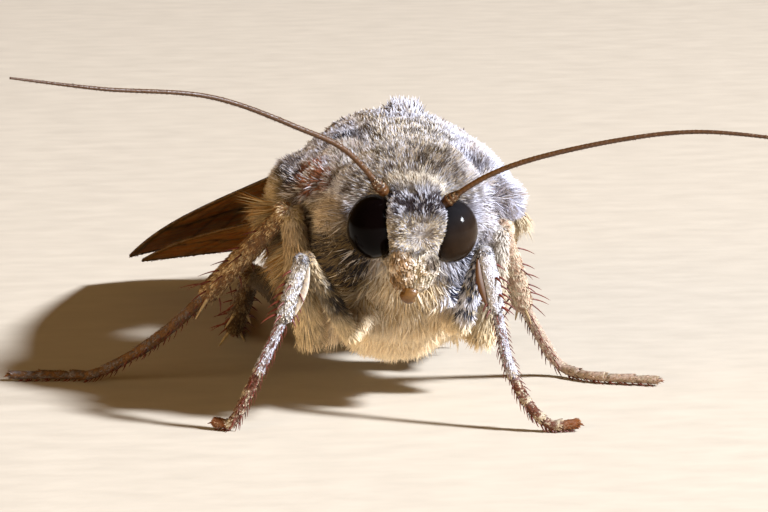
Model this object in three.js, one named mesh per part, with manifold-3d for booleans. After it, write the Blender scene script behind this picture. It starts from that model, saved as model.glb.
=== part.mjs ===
// A noctuid moth standing at rest, life size, in millimetres.
// +Z is up, the floor is z = 0 and the head looks along -Y.
// "right" and "left" are the moth's own sides: its right is -X and its left is +X.
import * as THREE from 'three';
import { mergeVertices } from 'three/addons/utils/BufferGeometryUtils.js';
import Module from 'manifold-3d';

// ---------------------------------------------------------------- driving dimensions

const GAP = 0.04; // clearance between two pieces that touch

// The trunk leans a few degrees to the moth's left and stands head up.
const TRUNK = { centre: [0.15, 0, 5.3], lean: THREE.MathUtils.degToRad(4.5) };

// Positions from here to the abdomen are measured from the middle of the trunk.
const THORAX = {
  front: [0, -3.5, 0.35],
  back: [0, 4.7, -0.45],
  halfWidth: 3.7,
  halfHeight: 4.05,
  egg: 0.12, // how much wider the section is at the shoulders than at its middle
  fullness: 2.5,
};
const COLLAR = { at: [-0.1, -3.05, 0.95], halfWidth: 2.75, halfDepth: 1.15, halfHeight: 2.75, tilt: 0.18 };
const TEGULA = {
  at: [2.55, 0.1, 1.85],
  halfWidth: 0.95,
  halfLength: 3.2,
  halfHeight: 2.0,
  splay: 0.72,
  yaw: 0.1,
};

// The head hangs from the collar; its parts are measured from its own middle.
const HEAD = {
  at: [-0.16, -4.55, 0.88],
  back: [0, 1.2, 0.1],
  front: [0, -1.2, -0.1],
  halfWidth: 1.3,
  halfHeight: 1.5,
  fullness: 2.6,
};
const EYE = { at: [1.18, -0.18, 0.03], halfWidth: 0.84, halfDepth: 0.95, halfHeight: 1.0 };
const PALP = {
  points: [[0.31, 0.2, -1.5], [0.31, -0.75, -1.45], [0.42, -1.4, -0.85]],
  radii: [0.25, 0.29, 0.37],
};
const PROBOSCIS = { at: [0, -0.95, -1.8], radius: 0.33, width: 0.36 };

// The abdomen sinks from the waist to its tip just above the floor.
const ABDOMEN = {
  points: [[0, 4.3, 4.1], [0.05, 8, 2.8], [0.1, 11.5, 2.0], [0.15, 15, 1.6]],
  halfWidth: [2.3, 2.35, 2.15, 1.75, 0.75],
  halfHeight: [1.9, 1.8, 1.6, 1.3, 0.6],
  lengths: 6,
};

// Each leg is listed joint by joint, from the coxa's root to the last tarsal bend, in the moth's frame.
const LEGS = {
  fore: {
    radii: { coxa: [0.62, 0.5], femur: [0.36, 0.5, 0.3], tibia: [0.3, 0.36, 0.33], tarsus: [0.26, 0.25] },
    right: {
      coxa: [[-1.35, -2.3, 3.6], [-1.7, -3.6, 2.75]],
      knee: [-3.28, -4.9, 5.55],
      ankle: [-3.96, -5.2, 3.57],
      tarsus: [[-4.6, -5.0, 2.14], [-5.1, -4.7, 1.0], [-5.55, -4.5, 0.2], [-6.0, -4.25, 0.14]],
    },
    left: {
      coxa: [[1.5, -2.3, 3.5], [1.75, -3.55, 2.95]],
      knee: [2.24, -4.85, 5.65],
      ankle: [2.58, -5.4, 3.7],
      tarsus: [[2.98, -5.6, 1.92], [3.62, -5.8, 0.72], [4.3, -5.9, 0.19], [5.05, -5.85, 0.14]],
    },
    spurRows: 0,
  },
  mid: {
    radii: { coxa: [0.75, 0.6], femur: [0.4, 0.5, 0.34], tibia: [0.32, 0.42, 0.42], tarsus: [0.29, 0.25] },
    right: {
      coxa: [[-1.9, 0.4, 3.1], [-2.65, -0.9, 2.2]],
      knee: [-3.42, -2.2, 6.5],
      ankle: [-5.75, 0.5, 3.3],
      tarsus: [[-7.0, 1.3, 1.95], [-8.05, 2.0, 1.05], [-9.5, 3.0, 0.2], [-11.9, 3.4, 0.17]],
    },
    left: {
      coxa: [[2.0, 0.4, 2.9], [2.75, -0.9, 2.1]],
      knee: [3.05, -2.9, 5.9],
      ankle: [4.2, 0.1, 2.8],
      tarsus: [[4.95, 1.1, 1.5], [5.7, 1.8, 0.4], [6.6, 0.9, 0.17], [8.6, 0.1, 0.17]],
    },
    spurRows: 1,
  },
  hind: {
    radii: { coxa: [0.75, 0.6], femur: [0.4, 0.52, 0.36], tibia: [0.34, 0.42, 0.4], tarsus: [0.29, 0.25] },
    right: {
      coxa: [[-1.2, 2.5, 2.6], [-1.75, 3.6, 1.3]],
      knee: [-4.15, 2.7, 3.5],
      ankle: [-4.3, 7.5, 0.75],
      tarsus: [[-4.0, 9.3, 0.25], [-3.75, 11.2, 0.17], [-3.6, 13.6, 0.17]],
    },
    left: {
      coxa: [[1.3, 2.5, 2.4], [1.85, 3.5, 1.2]],
      knee: [3.9, 1.5, 2.85],
      ankle: [2.6, 6.5, 0.7],
      tarsus: [[2.6, 8.3, 0.25], [2.75, 10.2, 0.17], [3.0, 12.6, 0.17]],
    },
    spurRows: 2,
  },
};
// Pairs of spurs stand along the middle and hind tibiae, and each foot ends in a pair of claws.
const SPUR = { length: 1.15, radius: 0.13, spread: 0.45, inset: 0.25, step: 1.9, dip: 0.35 };
const CLAW = { length: 0.34, radius: 0.08, spread: 0.5, inset: 0.1 };

// The feelers rise from the crown and sweep out, each divided into the scape and two lengths.
const ANTENNA = {
  radius: { scape: 0.3, flagellum: 0.26 },
  right: [
    [-0.8, -5.1, 7.4],
    [-2.1, -5.6, 8.84],
    [-3.6, -6.2, 9.66],
    [-6.3, -7.2, 10.8],
    [-9.6, -8.1, 11.25],
    [-12.3, -8.6, 11.7],
  ],
  left: [
    [0.92, -5.1, 7.0],
    [2.04, -5.4, 7.8],
    [3.24, -5.6, 8.33],
    [6.2, -6.0, 9.04],
    [8.6, -6.35, 9.3],
    [12.3, -7.1, 8.98],
  ],
  scapeEnd: 0.06,
  middle: 0.5,
};

// A wing is a thin plate from its root to its apex. Its chord runs in from the leading edge (the costa)
// and rises toward the body, then curls down. The droop lowers the middle of the costa, or lifts it if
// negative. The tornus is the inner corner of the outer edge, given as a share of the span.
const WING_THICKNESS = 0.5;
const WINGS = {
  forewing_right: {
    root: [-3.1, 0.9, 7.15],
    apex: [-7.05, 18.2, 1.05],
    rise: 0.25,
    rootChord: 2.5,
    chord: 7.5,
    tornus: 0.82,
    costaBulge: 0.9,
    terminalBulge: 1.0,
    curl: 0.003,
    droop: -0.08,
  },
  forewing_left: {
    root: [4.2, 0.9, 5.7],
    apex: [4.65, 18.5, 1.0],
    rise: 0.55,
    rootChord: 2.9,
    chord: 6.8,
    tornus: 0.82,
    costaBulge: 1.0,
    terminalBulge: 1.0,
    curl: 0.004,
    droop: 0.6,
  },
  hindwing_right: {
    root: [-3.2, 2.6, 5.3],
    apex: [-6.7, 17.0, 1.15],
    rise: 0.1,
    rootChord: 0.8,
    chord: 3.6,
    tornus: 0.86,
    costaBulge: 0.6,
    terminalBulge: 0.5,
    curl: 0.002,
    droop: -0.1,
  },
  hindwing_left: {
    root: [3.7, 2.6, 4.3],
    apex: [4.4, 15.2, 1.0],
    rise: 0.25,
    rootChord: 0.8,
    chord: 2.2,
    tornus: 0.9,
    costaBulge: 1.2,
    terminalBulge: 0.4,
    curl: 0.002,
    droop: 1.1,
  },
};

const X_AXIS = new THREE.Vector3(1, 0, 0);
const Y_AXIS = new THREE.Vector3(0, 1, 0);
const UP = new THREE.Vector3(0, 0, 1);
const toVector = (point) => new THREE.Vector3(...point);

const wasm = await Module();
wasm.setup();

// ---------------------------------------------------------------- closed solids

// The volume inside a geometry: negative when its faces point in.
function signedVolume(geometry) {
  const place = geometry.attributes.position;
  const corners = [new THREE.Vector3(), new THREE.Vector3(), new THREE.Vector3()];
  let volume = 0;
  for (let i = 0; i < geometry.index.count; i += 3) {
    corners.forEach((corner, k) => corner.fromBufferAttribute(place, geometry.index.getX(i + k)));
    volume += corners[0].dot(corners[1].cross(corners[2])) / 6;
  }
  return volume;
}

// Shares a geometry's vertices, drops the flat triangles at its poles and turns its faces outward.
function closed(source) {
  const bare = source.clone();
  bare.deleteAttribute('normal');
  bare.deleteAttribute('uv');
  const merged = mergeVertices(bare, 1e-5);
  const kept = [];
  for (let i = 0; i < merged.index.count; i += 3) {
    const triangle = [0, 1, 2].map((k) => merged.index.getX(i + k));
    if (new Set(triangle).size === 3) {
      kept.push(triangle);
    }
  }
  merged.setIndex(kept.flat());
  if (signedVolume(merged) < 0) {
    merged.setIndex(kept.map((triangle) => triangle.reverse()).flat());
  }
  return merged;
}

function toSolid(geometry) {
  return new wasm.Manifold(new wasm.Mesh({
    numProp: 3,
    vertProperties: new Float32Array(geometry.attributes.position.array),
    triVerts: new Uint32Array(geometry.index.array),
  }));
}

function fromSolid(solid) {
  const { vertProperties, triVerts } = solid.getMesh();
  const geometry = new THREE.BufferGeometry();
  geometry.setAttribute('position', new THREE.BufferAttribute(vertProperties, 3));
  geometry.setIndex(new THREE.BufferAttribute(triVerts, 1));
  return geometry;
}

function joined(geometries) {
  return fromSolid(geometries.map(toSolid).reduce((whole, next) => whole.add(next)));
}

// ---------------------------------------------------------------- shapes

// Reads a list of values spread evenly over 0..1, straight from each to the next.
function along(values, t) {
  const place = THREE.MathUtils.clamp(t, 0, 1) * (values.length - 1);
  const step = Math.min(Math.floor(place), values.length - 2);
  return THREE.MathUtils.lerp(values[step], values[step + 1], place - step);
}

// How full a round-ended body is at t: 1 in the middle, small at both ends.
function rounded(t, fullness) {
  return Math.max(0.14, (1 - Math.abs(2 * t - 1) ** fullness) ** (1 / fullness));
}

// A limb's blunt end: its last stretch draws in to about a third of its thickness.
function blunted(t, stretch = 0.12) {
  const inset = Math.max(0, 1 - Math.min(t, 1 - t) / stretch);
  return Math.sqrt(1 - 0.88 * inset * inset);
}

// A lathe-turned rod laid along a curve, from one share of its length to another.
// half(t) gives its half width and half height, and trim shortens it at both ends.
function sweep(shape) {
  const { points, half, sides, rings, grow } = shape;
  const { across = X_AXIS, egg = 0, even = false, cut = [0, 1], trim = 0 } = shape;
  const path = new THREE.CatmullRomCurve3(points.map(toVector), false, 'centripetal');
  const from = cut[0] + trim / path.getLength();
  const to = cut[1] - trim / path.getLength();
  const profile = [new THREE.Vector2(0, from)];
  for (let i = 0; i <= rings; i += 1) {
    const share = even ? i / rings : 0.5 - 0.5 * Math.cos((Math.PI * i) / rings);
    profile.push(new THREE.Vector2(1, THREE.MathUtils.lerp(from, to, share)));
  }
  profile.push(new THREE.Vector2(0, to));
  const geometry = new THREE.LatheGeometry(profile, sides);
  const place = geometry.attributes.position;
  const vertex = new THREE.Vector3();
  for (let i = 0; i < place.count; i += 1) {
    vertex.fromBufferAttribute(place, i);
    const t = THREE.MathUtils.clamp(vertex.y, from, to);
    const tangent = path.getTangentAt(t);
    const side = across.clone().addScaledVector(tangent, -across.dot(tangent)).normalize();
    const rise = side.clone().cross(tangent);
    const [halfWidth, halfHeight] = half(t);
    const end = (t >= to ? grow : 0) - (t <= from ? grow : 0);
    const spot = path.getPointAt(t)
      .addScaledVector(tangent, end)
      .addScaledVector(side, vertex.x * (1 + egg * vertex.z) * (halfWidth + grow))
      .addScaledVector(rise, vertex.z * (halfHeight + grow));
    place.setXYZ(i, spot.x, spot.y, spot.z);
  }
  return closed(geometry);
}

// A round rod of changing thickness with blunt ends.
function limb(points, radii, { grow, across = X_AXIS, sides = 7, rings = 4 }) {
  const half = (t) => {
    const radius = along(radii, t) * blunted(t);
    return [radius, radius];
  };
  return sweep({ points, half, across, sides, rings, grow });
}

function ellipsoid(halfWidth, halfDepth, halfHeight, grow, columns, rows) {
  const geometry = new THREE.SphereGeometry(1, columns, rows);
  geometry.rotateX(Math.PI / 2);
  geometry.scale(halfWidth + grow, halfDepth + grow, halfHeight + grow);
  return closed(geometry);
}

// A short tapering spike that springs from a point, used for spurs and claws.
function spike(base, direction, length, radius) {
  const geometry = new THREE.ConeGeometry(radius, length, 4, 1);
  geometry.translate(0, length / 2, 0);
  geometry.applyQuaternion(new THREE.Quaternion().setFromUnitVectors(Y_AXIS, direction));
  geometry.translate(base.x, base.y, base.z);
  return closed(geometry);
}

// ---------------------------------------------------------------- pieces

const moth = new THREE.Group();
const pieces = [];

// Adds a named piece. shape(grow) gives its geometry, or with grow the mould that neighbours are cut by.
function addPiece(group, name, color, roughness, shape, place = {}) {
  const material = new THREE.MeshStandardMaterial({ color, roughness, metalness: 0 });
  const mesh = new THREE.Mesh(shape(0), material);
  mesh.name = name;
  mesh.position.set(...(place.at ?? [0, 0, 0]));
  mesh.rotation.set(...(place.turned ?? [0, 0, 0]));
  group.add(mesh);
  pieces.push({ mesh, mould: shape(GAP) });
  return mesh;
}

const sides = { right: -1, left: 1 };

function addThorax(trunk) {
  const shape = (grow) => sweep({
    points: [THORAX.front, THORAX.back],
    half: (t) => {
      const full = rounded(t, THORAX.fullness);
      return [THORAX.halfWidth * full, THORAX.halfHeight * full];
    },
    sides: 22,
    rings: 9,
    egg: THORAX.egg,
    grow,
  });
  addPiece(trunk, 'thorax', 0x8d867c, 0.9, shape);
}

function addAbdomen() {
  const { points, halfWidth, halfHeight, lengths } = ABDOMEN;
  for (let i = 0; i < lengths; i += 1) {
    const start = i / lengths;
    const last = i === lengths - 1;
    // The last length closes in a round tip.
    const full = (t) => (last ? Math.sqrt(1.02 - Math.max(0, (t - start) * lengths) ** 2) : 1);
    const shape = (grow) => sweep({
      points,
      half: (t) => [along(halfWidth, t) * full(t), along(halfHeight, t) * full(t)],
      sides: 18,
      rings: last ? 4 : 2,
      even: !last,
      grow,
      cut: [start, start + 1 / lengths],
      trim: GAP,
    });
    addPiece(moth, `abdomen_${i + 1}`, 0xa08f73, 0.9, shape);
  }
}

function addCollar(trunk) {
  const shape = (grow) => ellipsoid(COLLAR.halfWidth, COLLAR.halfDepth, COLLAR.halfHeight, grow, 16, 6);
  addPiece(trunk, 'collar', 0xa79f92, 0.9, shape, { at: COLLAR.at, turned: [COLLAR.tilt, 0, 0] });
}

function addTegulae(trunk) {
  for (const [side, sign] of Object.entries(sides)) {
    const [x, y, z] = TEGULA.at;
    const shape = (grow) => ellipsoid(TEGULA.halfWidth, TEGULA.halfLength, TEGULA.halfHeight, grow, 12, 8);
    addPiece(trunk, `tegula_${side}`, 0x93908c, 0.9, shape, {
      at: [sign * x, y, z],
      turned: [0, -sign * TEGULA.splay, sign * TEGULA.yaw],
    });
  }
}

function addHead(trunk) {
  const head = new THREE.Group();
  head.position.set(...HEAD.at);
  trunk.add(head);
  const skull = (grow) => sweep({
    points: [HEAD.back, HEAD.front],
    half: (t) => {
      const full = rounded(t, HEAD.fullness);
      return [HEAD.halfWidth * full, HEAD.halfHeight * full];
    },
    sides: 18,
    rings: 7,
    grow,
  });
  addPiece(head, 'head', 0x8a7f72, 0.9, skull);
  const coil = (grow) => {
    const radius = PROBOSCIS.radius + grow;
    const geometry = new THREE.CylinderGeometry(radius, radius, PROBOSCIS.width + 2 * grow, 10);
    geometry.rotateZ(Math.PI / 2);
    return closed(geometry);
  };
  addPiece(head, 'proboscis', 0x9a5a1e, 0.35, coil, { at: PROBOSCIS.at });
  for (const [side, sign] of Object.entries(sides)) {
    const points = PALP.points.map(([x, y, z]) => [sign * x, y, z]);
    addPiece(head, `palp_${side}`, 0xa38a66, 0.85, (grow) => limb(points, PALP.radii, { rings: 6, grow }));
  }
  for (const [side, sign] of Object.entries(sides)) {
    const [x, y, z] = EYE.at;
    const shape = (grow) => ellipsoid(EYE.halfWidth, EYE.halfDepth, EYE.halfHeight, grow, 14, 9);
    addPiece(head, `eye_${side}`, 0x0d0a09, 0.12, shape, { at: [sign * x, y, z] });
  }
}

function addAntennae() {
  const { radius, scapeEnd, middle } = ANTENNA;
  const lengths = {
    scape: { cut: [0, scapeEnd], radius: radius.scape, rings: 1 },
    inner: { cut: [scapeEnd, middle], radius: radius.flagellum, rings: 5 },
    outer: { cut: [middle, 1], radius: radius.flagellum, rings: 5 },
  };
  for (const side of Object.keys(sides)) {
    for (const [name, length] of Object.entries(lengths)) {
      const shape = (grow) => sweep({
        points: ANTENNA[side],
        half: () => [length.radius, length.radius],
        across: Y_AXIS,
        sides: 7,
        rings: length.rings,
        even: true,
        grow,
        cut: length.cut,
        trim: GAP,
      });
      addPiece(moth, `antenna_${side}_${name}`, 0x6e3a16, 0.5, shape);
    }
  }
}

// Two spikes that part to either side of a limb's own plane.
function spikePair(base, direction, across, { length, radius, spread }) {
  return Object.values(sides).map((sign) => {
    const aim = direction.clone().addScaledVector(across, sign * spread).normalize();
    return spike(base, aim, length, radius);
  });
}

function forEachLeg(add) {
  for (const pair of Object.keys(LEGS)) {
    for (const side of Object.keys(sides)) {
      add(pair, side);
    }
  }
}

// The level direction square to a leg's own plane.
function acrossLeg({ knee, tarsus }) {
  return toVector(tarsus.at(-1)).sub(toVector(knee)).cross(UP).normalize();
}

function addCoxa(pair, side) {
  const leg = LEGS[pair][side];
  const across = acrossLeg(leg);
  const shape = (grow) => limb(leg.coxa, LEGS[pair].radii.coxa, { across, rings: 3, grow });
  addPiece(moth, `${pair}_coxa_${side}`, 0x9c8f7b, 0.9, shape);
}

function addLeg(pair, side) {
  const { radii, spurRows } = LEGS[pair];
  const { coxa, knee, ankle, tarsus } = LEGS[pair][side];
  const across = acrossLeg(LEGS[pair][side]);
  const name = (length) => `${pair}_${length}_${side}`;
  const femur = (grow) => limb([coxa[1], knee], radii.femur, { across, grow });
  addPiece(moth, name('femur'), 0x9b7c4f, 0.8, femur);

  const shin = toVector(ankle).sub(toVector(knee)).normalize();
  const tibia = (grow) => {
    const solids = [limb([knee, ankle], radii.tibia, { across, grow })];
    for (let row = 0; row < spurRows; row += 1) {
      const base = toVector(ankle).addScaledVector(shin, -SPUR.inset - SPUR.step * row);
      const aim = shin.clone().addScaledVector(UP, -SPUR.dip).normalize();
      solids.push(...spikePair(base, aim, across, SPUR));
    }
    return joined(solids);
  };
  addPiece(moth, name('tibia'), 0xb4ada3, 0.85, tibia);

  const points = [ankle, ...tarsus];
  const foot = toVector(tarsus.at(-1));
  const heading = foot.clone().sub(toVector(tarsus.at(-2))).normalize();
  const toes = (grow) => {
    const reach = limb(points, radii.tarsus, { across, sides: 6, rings: 9, grow });
    const base = foot.clone().addScaledVector(heading, -CLAW.inset);
    return joined([reach, ...spikePair(base, heading, across, CLAW)]);
  };
  addPiece(moth, name('tarsus'), 0x5d4a3c, 0.8, toes);
}

// A box whose length u and chord v follow the wing's outline, bent down by its curl and droop.
// up is 1 where the plate's own Z points up, and -1 where it points down.
function wingPlate(wing, span, up, grow) {
  const geometry = new THREE.BoxGeometry(1, 1, 1, 8, 4, 1);
  geometry.translate(0.5, 0.5, 0);
  const place = geometry.attributes.position;
  const thickness = WING_THICKNESS + 2 * grow;
  for (let i = 0; i < place.count; i += 1) {
    const u = place.getX(i);
    const v = place.getY(i);
    const costa = [u * span, -wing.costaBulge * Math.sin(Math.PI * u)];
    const inner = [u * span * wing.tornus, THREE.MathUtils.lerp(wing.rootChord, wing.chord, u)];
    const rim = wing.terminalBulge * u ** 6 * Math.sin(Math.PI * v);
    const length = THREE.MathUtils.lerp(costa[0], inner[0], v) + rim + grow * (2 * u - 1);
    const chord = THREE.MathUtils.lerp(costa[1], inner[1], v) + grow * (2 * v - 1);
    const fall = wing.curl * chord ** 3 + wing.droop * Math.sin(Math.PI * u) * (1 - v);
    place.setXYZ(i, length, chord, place.getZ(i) * thickness - up * fall);
  }
  return closed(geometry);
}

// Sets a wing from root to apex, its chord turned in to the body and lifted by rise.
function addWing(name, side) {
  const wing = WINGS[name];
  const root = toVector(wing.root);
  const length = toVector(wing.apex).sub(root);
  const span = length.length();
  length.normalize();
  const chord = new THREE.Vector3(-sides[side], 0, wing.rise);
  chord.addScaledVector(length, -chord.dot(length)).normalize();
  const normal = length.clone().cross(chord);
  const up = Math.sign(normal.z);
  const mesh = addPiece(moth, name, 0x6f5b43, 0.8, (grow) => wingPlate(wing, span, up, grow));
  mesh.quaternion.setFromRotationMatrix(new THREE.Matrix4().makeBasis(length, chord, normal));
  mesh.position.copy(root);
}

// ---------------------------------------------------------------- fitting

// Cuts a piece back wherever a later piece, grown by the clearance, sits in it.
function seat() {
  moth.updateMatrixWorld(true);
  const placed = (geometry, mesh) => toSolid(geometry.clone().applyMatrix4(mesh.matrixWorld));
  const solids = pieces.map(({ mesh }) => placed(mesh.geometry, mesh));
  const moulds = pieces.map(({ mesh, mould }) => placed(mould, mesh));
  const ground = floor();
  pieces.forEach(({ mesh }, i) => {
    const cutters = moulds.slice(i + 1).filter((mould) => !solids[i].intersect(mould).isEmpty());
    if (mesh.name.includes('tarsus')) {
      cutters.push(ground);
    }
    if (cutters.length > 0) {
      const cut = solids[i].subtract(cutters.reduce((whole, next) => whole.add(next)));
      mesh.geometry = fromSolid(largest(cut)).applyMatrix4(mesh.matrixWorld.clone().invert());
    }
  });
}

// The main body of a cut piece, without the slivers that a cut may leave.
function largest(solid) {
  return solid.decompose().reduce((best, next) => (next.volume() > best.volume() ? next : best));
}

// The slab under the feet, which leaves each of them a small flat sole.
function floor() {
  const slab = new THREE.BoxGeometry(60, 60, 2);
  slab.translate(0, 0, -1);
  return toSolid(closed(slab));
}

// ---------------------------------------------------------------- the moth

const trunk = new THREE.Group();
trunk.position.set(...TRUNK.centre);
trunk.rotation.y = TRUNK.lean;
moth.add(trunk);

// Where two pieces meet, the one added later keeps its whole shape.
addWing('hindwing_right', 'right');
addWing('hindwing_left', 'left');
addWing('forewing_right', 'right');
addWing('forewing_left', 'left');
addAbdomen();
addTegulae(trunk);
addCollar(trunk);
forEachLeg(addCoxa);
addThorax(trunk);
addHead(trunk);
forEachLeg(addLeg);
addAntennae();
seat();

// The origin is the middle of the moth's extent, on the floor.
const extent = new THREE.Box3().setFromObject(moth, true);
moth.position.set(-(extent.min.x + extent.max.x) / 2, -(extent.min.y + extent.max.y) / 2, 0);

export default moth;
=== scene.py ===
"""A noctuid moth at rest, dressed over its solids: one skin, a coat of hair scales, wings of scale rows."""
import math

import bpy
import numpy as np
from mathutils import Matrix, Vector
from mathutils.bvhtree import BVHTree
from mathutils.kdtree import KDTree


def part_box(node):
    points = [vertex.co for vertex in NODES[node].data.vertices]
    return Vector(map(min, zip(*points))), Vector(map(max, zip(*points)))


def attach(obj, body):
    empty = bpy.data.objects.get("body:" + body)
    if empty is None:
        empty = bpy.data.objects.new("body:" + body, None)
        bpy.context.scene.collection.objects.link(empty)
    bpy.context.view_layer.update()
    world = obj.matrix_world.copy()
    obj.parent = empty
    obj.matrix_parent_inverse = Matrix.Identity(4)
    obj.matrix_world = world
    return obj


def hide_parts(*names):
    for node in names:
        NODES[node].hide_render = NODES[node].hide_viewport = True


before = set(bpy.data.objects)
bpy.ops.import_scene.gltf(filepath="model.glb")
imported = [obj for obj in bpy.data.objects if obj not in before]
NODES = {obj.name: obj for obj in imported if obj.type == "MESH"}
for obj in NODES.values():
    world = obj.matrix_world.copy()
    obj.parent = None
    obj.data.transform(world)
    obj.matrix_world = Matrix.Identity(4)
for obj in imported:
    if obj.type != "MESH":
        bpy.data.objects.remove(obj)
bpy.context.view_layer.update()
MM = 0.001
RNG = np.random.default_rng(41)


# ---------------------------------------------------------------- measures

# All shapes below are in millimetres, +Z up, the head toward -Y. The plan's origin is on the floor
# under the shoulders; the thorax solid's own box ties it to the frame. In the functions, p are points
# of the plan, q the same points from the middle of the leaning trunk or of the head, n normals, and
# u and v shares along and across a part. Right and left are the moth's own.
THORAX_MIDDLE = np.array([0.191, 0.600, 5.250])  # the middle of that box in the plan


def box_middle(node):
    lo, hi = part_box(node)
    return np.array((lo + hi) / 2)


ORIGIN = box_middle("thorax") - THORAX_MIDDLE * MM


def plan(points):
    """Row frame, metres, to the plan, millimetres."""
    return (np.asarray(points, float) - ORIGIN) / MM


def row(points):
    """The plan, millimetres, to the row frame, metres."""
    return np.asarray(points, float) * MM + ORIGIN


LEAN = math.radians(4.5)
TRUNK = np.array([0.15, 0.0, 5.3])
TURN = np.array([[math.cos(LEAN), 0, math.sin(LEAN)], [0, 1, 0], [-math.sin(LEAN), 0, math.cos(LEAN)]])


def from_trunk(points):
    """From the leaning trunk's own axes to the plan."""
    return np.asarray(points, float) @ TURN.T + TRUNK


def to_trunk(points):
    return (np.asarray(points, float) - TRUNK) @ TURN


def turn_from_trunk(vectors):
    return np.asarray(vectors, float) @ TURN.T


HEAD_AT = np.array([-0.16, -4.55, 0.88])
FLOOR = 0.004  # nothing of the coat reaches lower

SIDES = ("right", "left")
PAIRS = ("fore", "mid", "hind")
FLESH = ["thorax", "collar", "head", "tegula_right", "tegula_left", "palp_right", "palp_left"]
FLESH += [f"abdomen_{i}" for i in range(1, 7)]
FLESH += [f"{pair}_coxa_{side}" for pair in PAIRS for side in SIDES]

# How deep the skin lies under the tips of the coat.
DEPTH = {"thorax": 0.42, "collar": 0.36, "tegula": 0.36, "head": 0.13, "palp": 0.03, "abdomen": 0.20,
         "coxa": 0.16}

LEGS = {
    "fore_right": dict(
        hip=(-1.7, -3.6, 2.75), knee=(-3.28, -4.9, 5.55), ankle=(-3.96, -5.2, 3.57),
        foot=[(-4.6, -5.0, 2.14), (-5.1, -4.7, 1.0), (-5.55, -4.5, 0.2), (-6.0, -4.25, 0.14)]),
    "fore_left": dict(
        hip=(1.75, -3.55, 2.95), knee=(2.24, -4.85, 5.65), ankle=(2.58, -5.4, 3.7),
        foot=[(2.98, -5.6, 1.92), (3.62, -5.8, 0.72), (4.3, -5.9, 0.19), (5.05, -5.85, 0.14)]),
    "mid_right": dict(
        hip=(-2.65, -0.9, 2.2), knee=(-3.42, -2.2, 6.5), ankle=(-5.75, 0.5, 3.3),
        foot=[(-7.0, 1.3, 1.95), (-8.05, 2.0, 1.05), (-9.5, 3.0, 0.2), (-11.9, 3.4, 0.17)]),
    "mid_left": dict(
        hip=(2.75, -0.9, 2.1), knee=(3.05, -2.9, 5.9), ankle=(4.2, 0.1, 2.8),
        foot=[(4.95, 1.1, 1.5), (5.7, 1.8, 0.4), (6.6, 0.9, 0.17), (8.6, 0.1, 0.17)]),
    "hind_right": dict(
        hip=(-1.75, 3.6, 1.3), knee=(-4.15, 2.7, 3.5), ankle=(-4.3, 7.5, 0.75),
        foot=[(-4.0, 9.3, 0.25), (-3.75, 11.2, 0.17), (-3.6, 13.6, 0.17)]),
    "hind_left": dict(
        hip=(1.85, 3.5, 1.2), knee=(3.9, 1.5, 2.85), ankle=(2.6, 6.5, 0.7),
        foot=[(2.6, 8.3, 0.25), (2.75, 10.2, 0.17), (3.0, 12.6, 0.17)]),
}
GIRTH = {
    "fore": dict(femur=(0.22, 0.29, 0.20), tibia=(0.25, 0.31, 0.28), tarsus=(0.185, 0.175)),
    "mid": dict(femur=(0.34, 0.42, 0.28), tibia=(0.27, 0.37, 0.36), tarsus=(0.215, 0.15)),
    "hind": dict(femur=(0.34, 0.43, 0.28), tibia=(0.29, 0.36, 0.34), tarsus=(0.21, 0.15)),
}
SPUR_ROWS = {"fore": 0, "mid": 1, "hind": 2}  # pairs of spurs on a shin

ANTENNA = {
    "right": [(-0.8, -5.1, 7.4), (-2.1, -5.6, 8.84), (-3.6, -6.2, 9.66), (-6.3, -7.2, 10.8),
              (-9.6, -8.1, 11.25), (-12.3, -8.6, 11.7)],
    "left": [(0.92, -5.1, 7.0), (2.04, -5.4, 7.8), (3.24, -5.6, 8.33), (6.2, -6.0, 9.04),
             (8.6, -6.35, 9.3), (12.3, -7.1, 8.98)],
}

WINGS = {
    "forewing_right": dict(
        root=(-3.1, 0.9, 7.15), apex=(-7.05, 18.2, 1.05), rise=0.25, root_chord=2.5, chord=7.5,
        tornus=0.82, costa=0.9, rim=1.0, curl=0.003, droop=-0.08),
    "forewing_left": dict(
        root=(4.2, 0.9, 5.7), apex=(4.65, 18.5, 1.0), rise=0.55, root_chord=2.9, chord=6.8,
        tornus=0.82, costa=1.0, rim=1.0, curl=0.004, droop=0.6),
    "hindwing_right": dict(
        root=(-3.2, 2.6, 5.3), apex=(-6.7, 17.0, 1.15), rise=0.1, root_chord=0.8, chord=3.6,
        tornus=0.86, costa=0.6, rim=0.5, curl=0.002, droop=-0.1),
    "hindwing_left": dict(
        root=(3.7, 2.6, 4.3), apex=(4.4, 15.2, 1.0), rise=0.25, root_chord=0.8, chord=2.2,
        tornus=0.9, costa=1.2, rim=0.4, curl=0.002, droop=1.1),
}


# ---------------------------------------------------------------- colours

def srgb(r, g, b):
    c = np.array([r, g, b], float) / 255
    return np.where(c <= 0.04045, c / 12.92, ((c + 0.055) / 1.055) ** 2.4)


FROST = srgb(216, 216, 228)
ASH = srgb(168, 162, 168)
SOOT = srgb(62, 54, 58)
INDIGO = srgb(40, 42, 58)
CREAM = srgb(224, 208, 180)
STRAW = srgb(198, 172, 128)
OLIVE = srgb(118, 100, 70)
RUST = srgb(150, 80, 30)
OCHRE = srgb(176, 128, 66)
UMBER = srgb(84, 66, 50)
PLUM = srgb(44, 32, 40)
AMBER = srgb(170, 104, 20)
SPINE = srgb(84, 32, 18)
WOOD = srgb(126, 86, 46)


# ---------------------------------------------------------------- numbers

def unit(v):
    v = np.asarray(v, float)
    return v / np.maximum(np.linalg.norm(v, axis=-1, keepdims=True), 1e-12)


def smooth(a, b, x):
    """0 at a, 1 at b, and a soft step between them."""
    t = np.clip((np.asarray(x, float) - a) / (b - a), 0, 1)
    return t * t * (3 - 2 * t)


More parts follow.
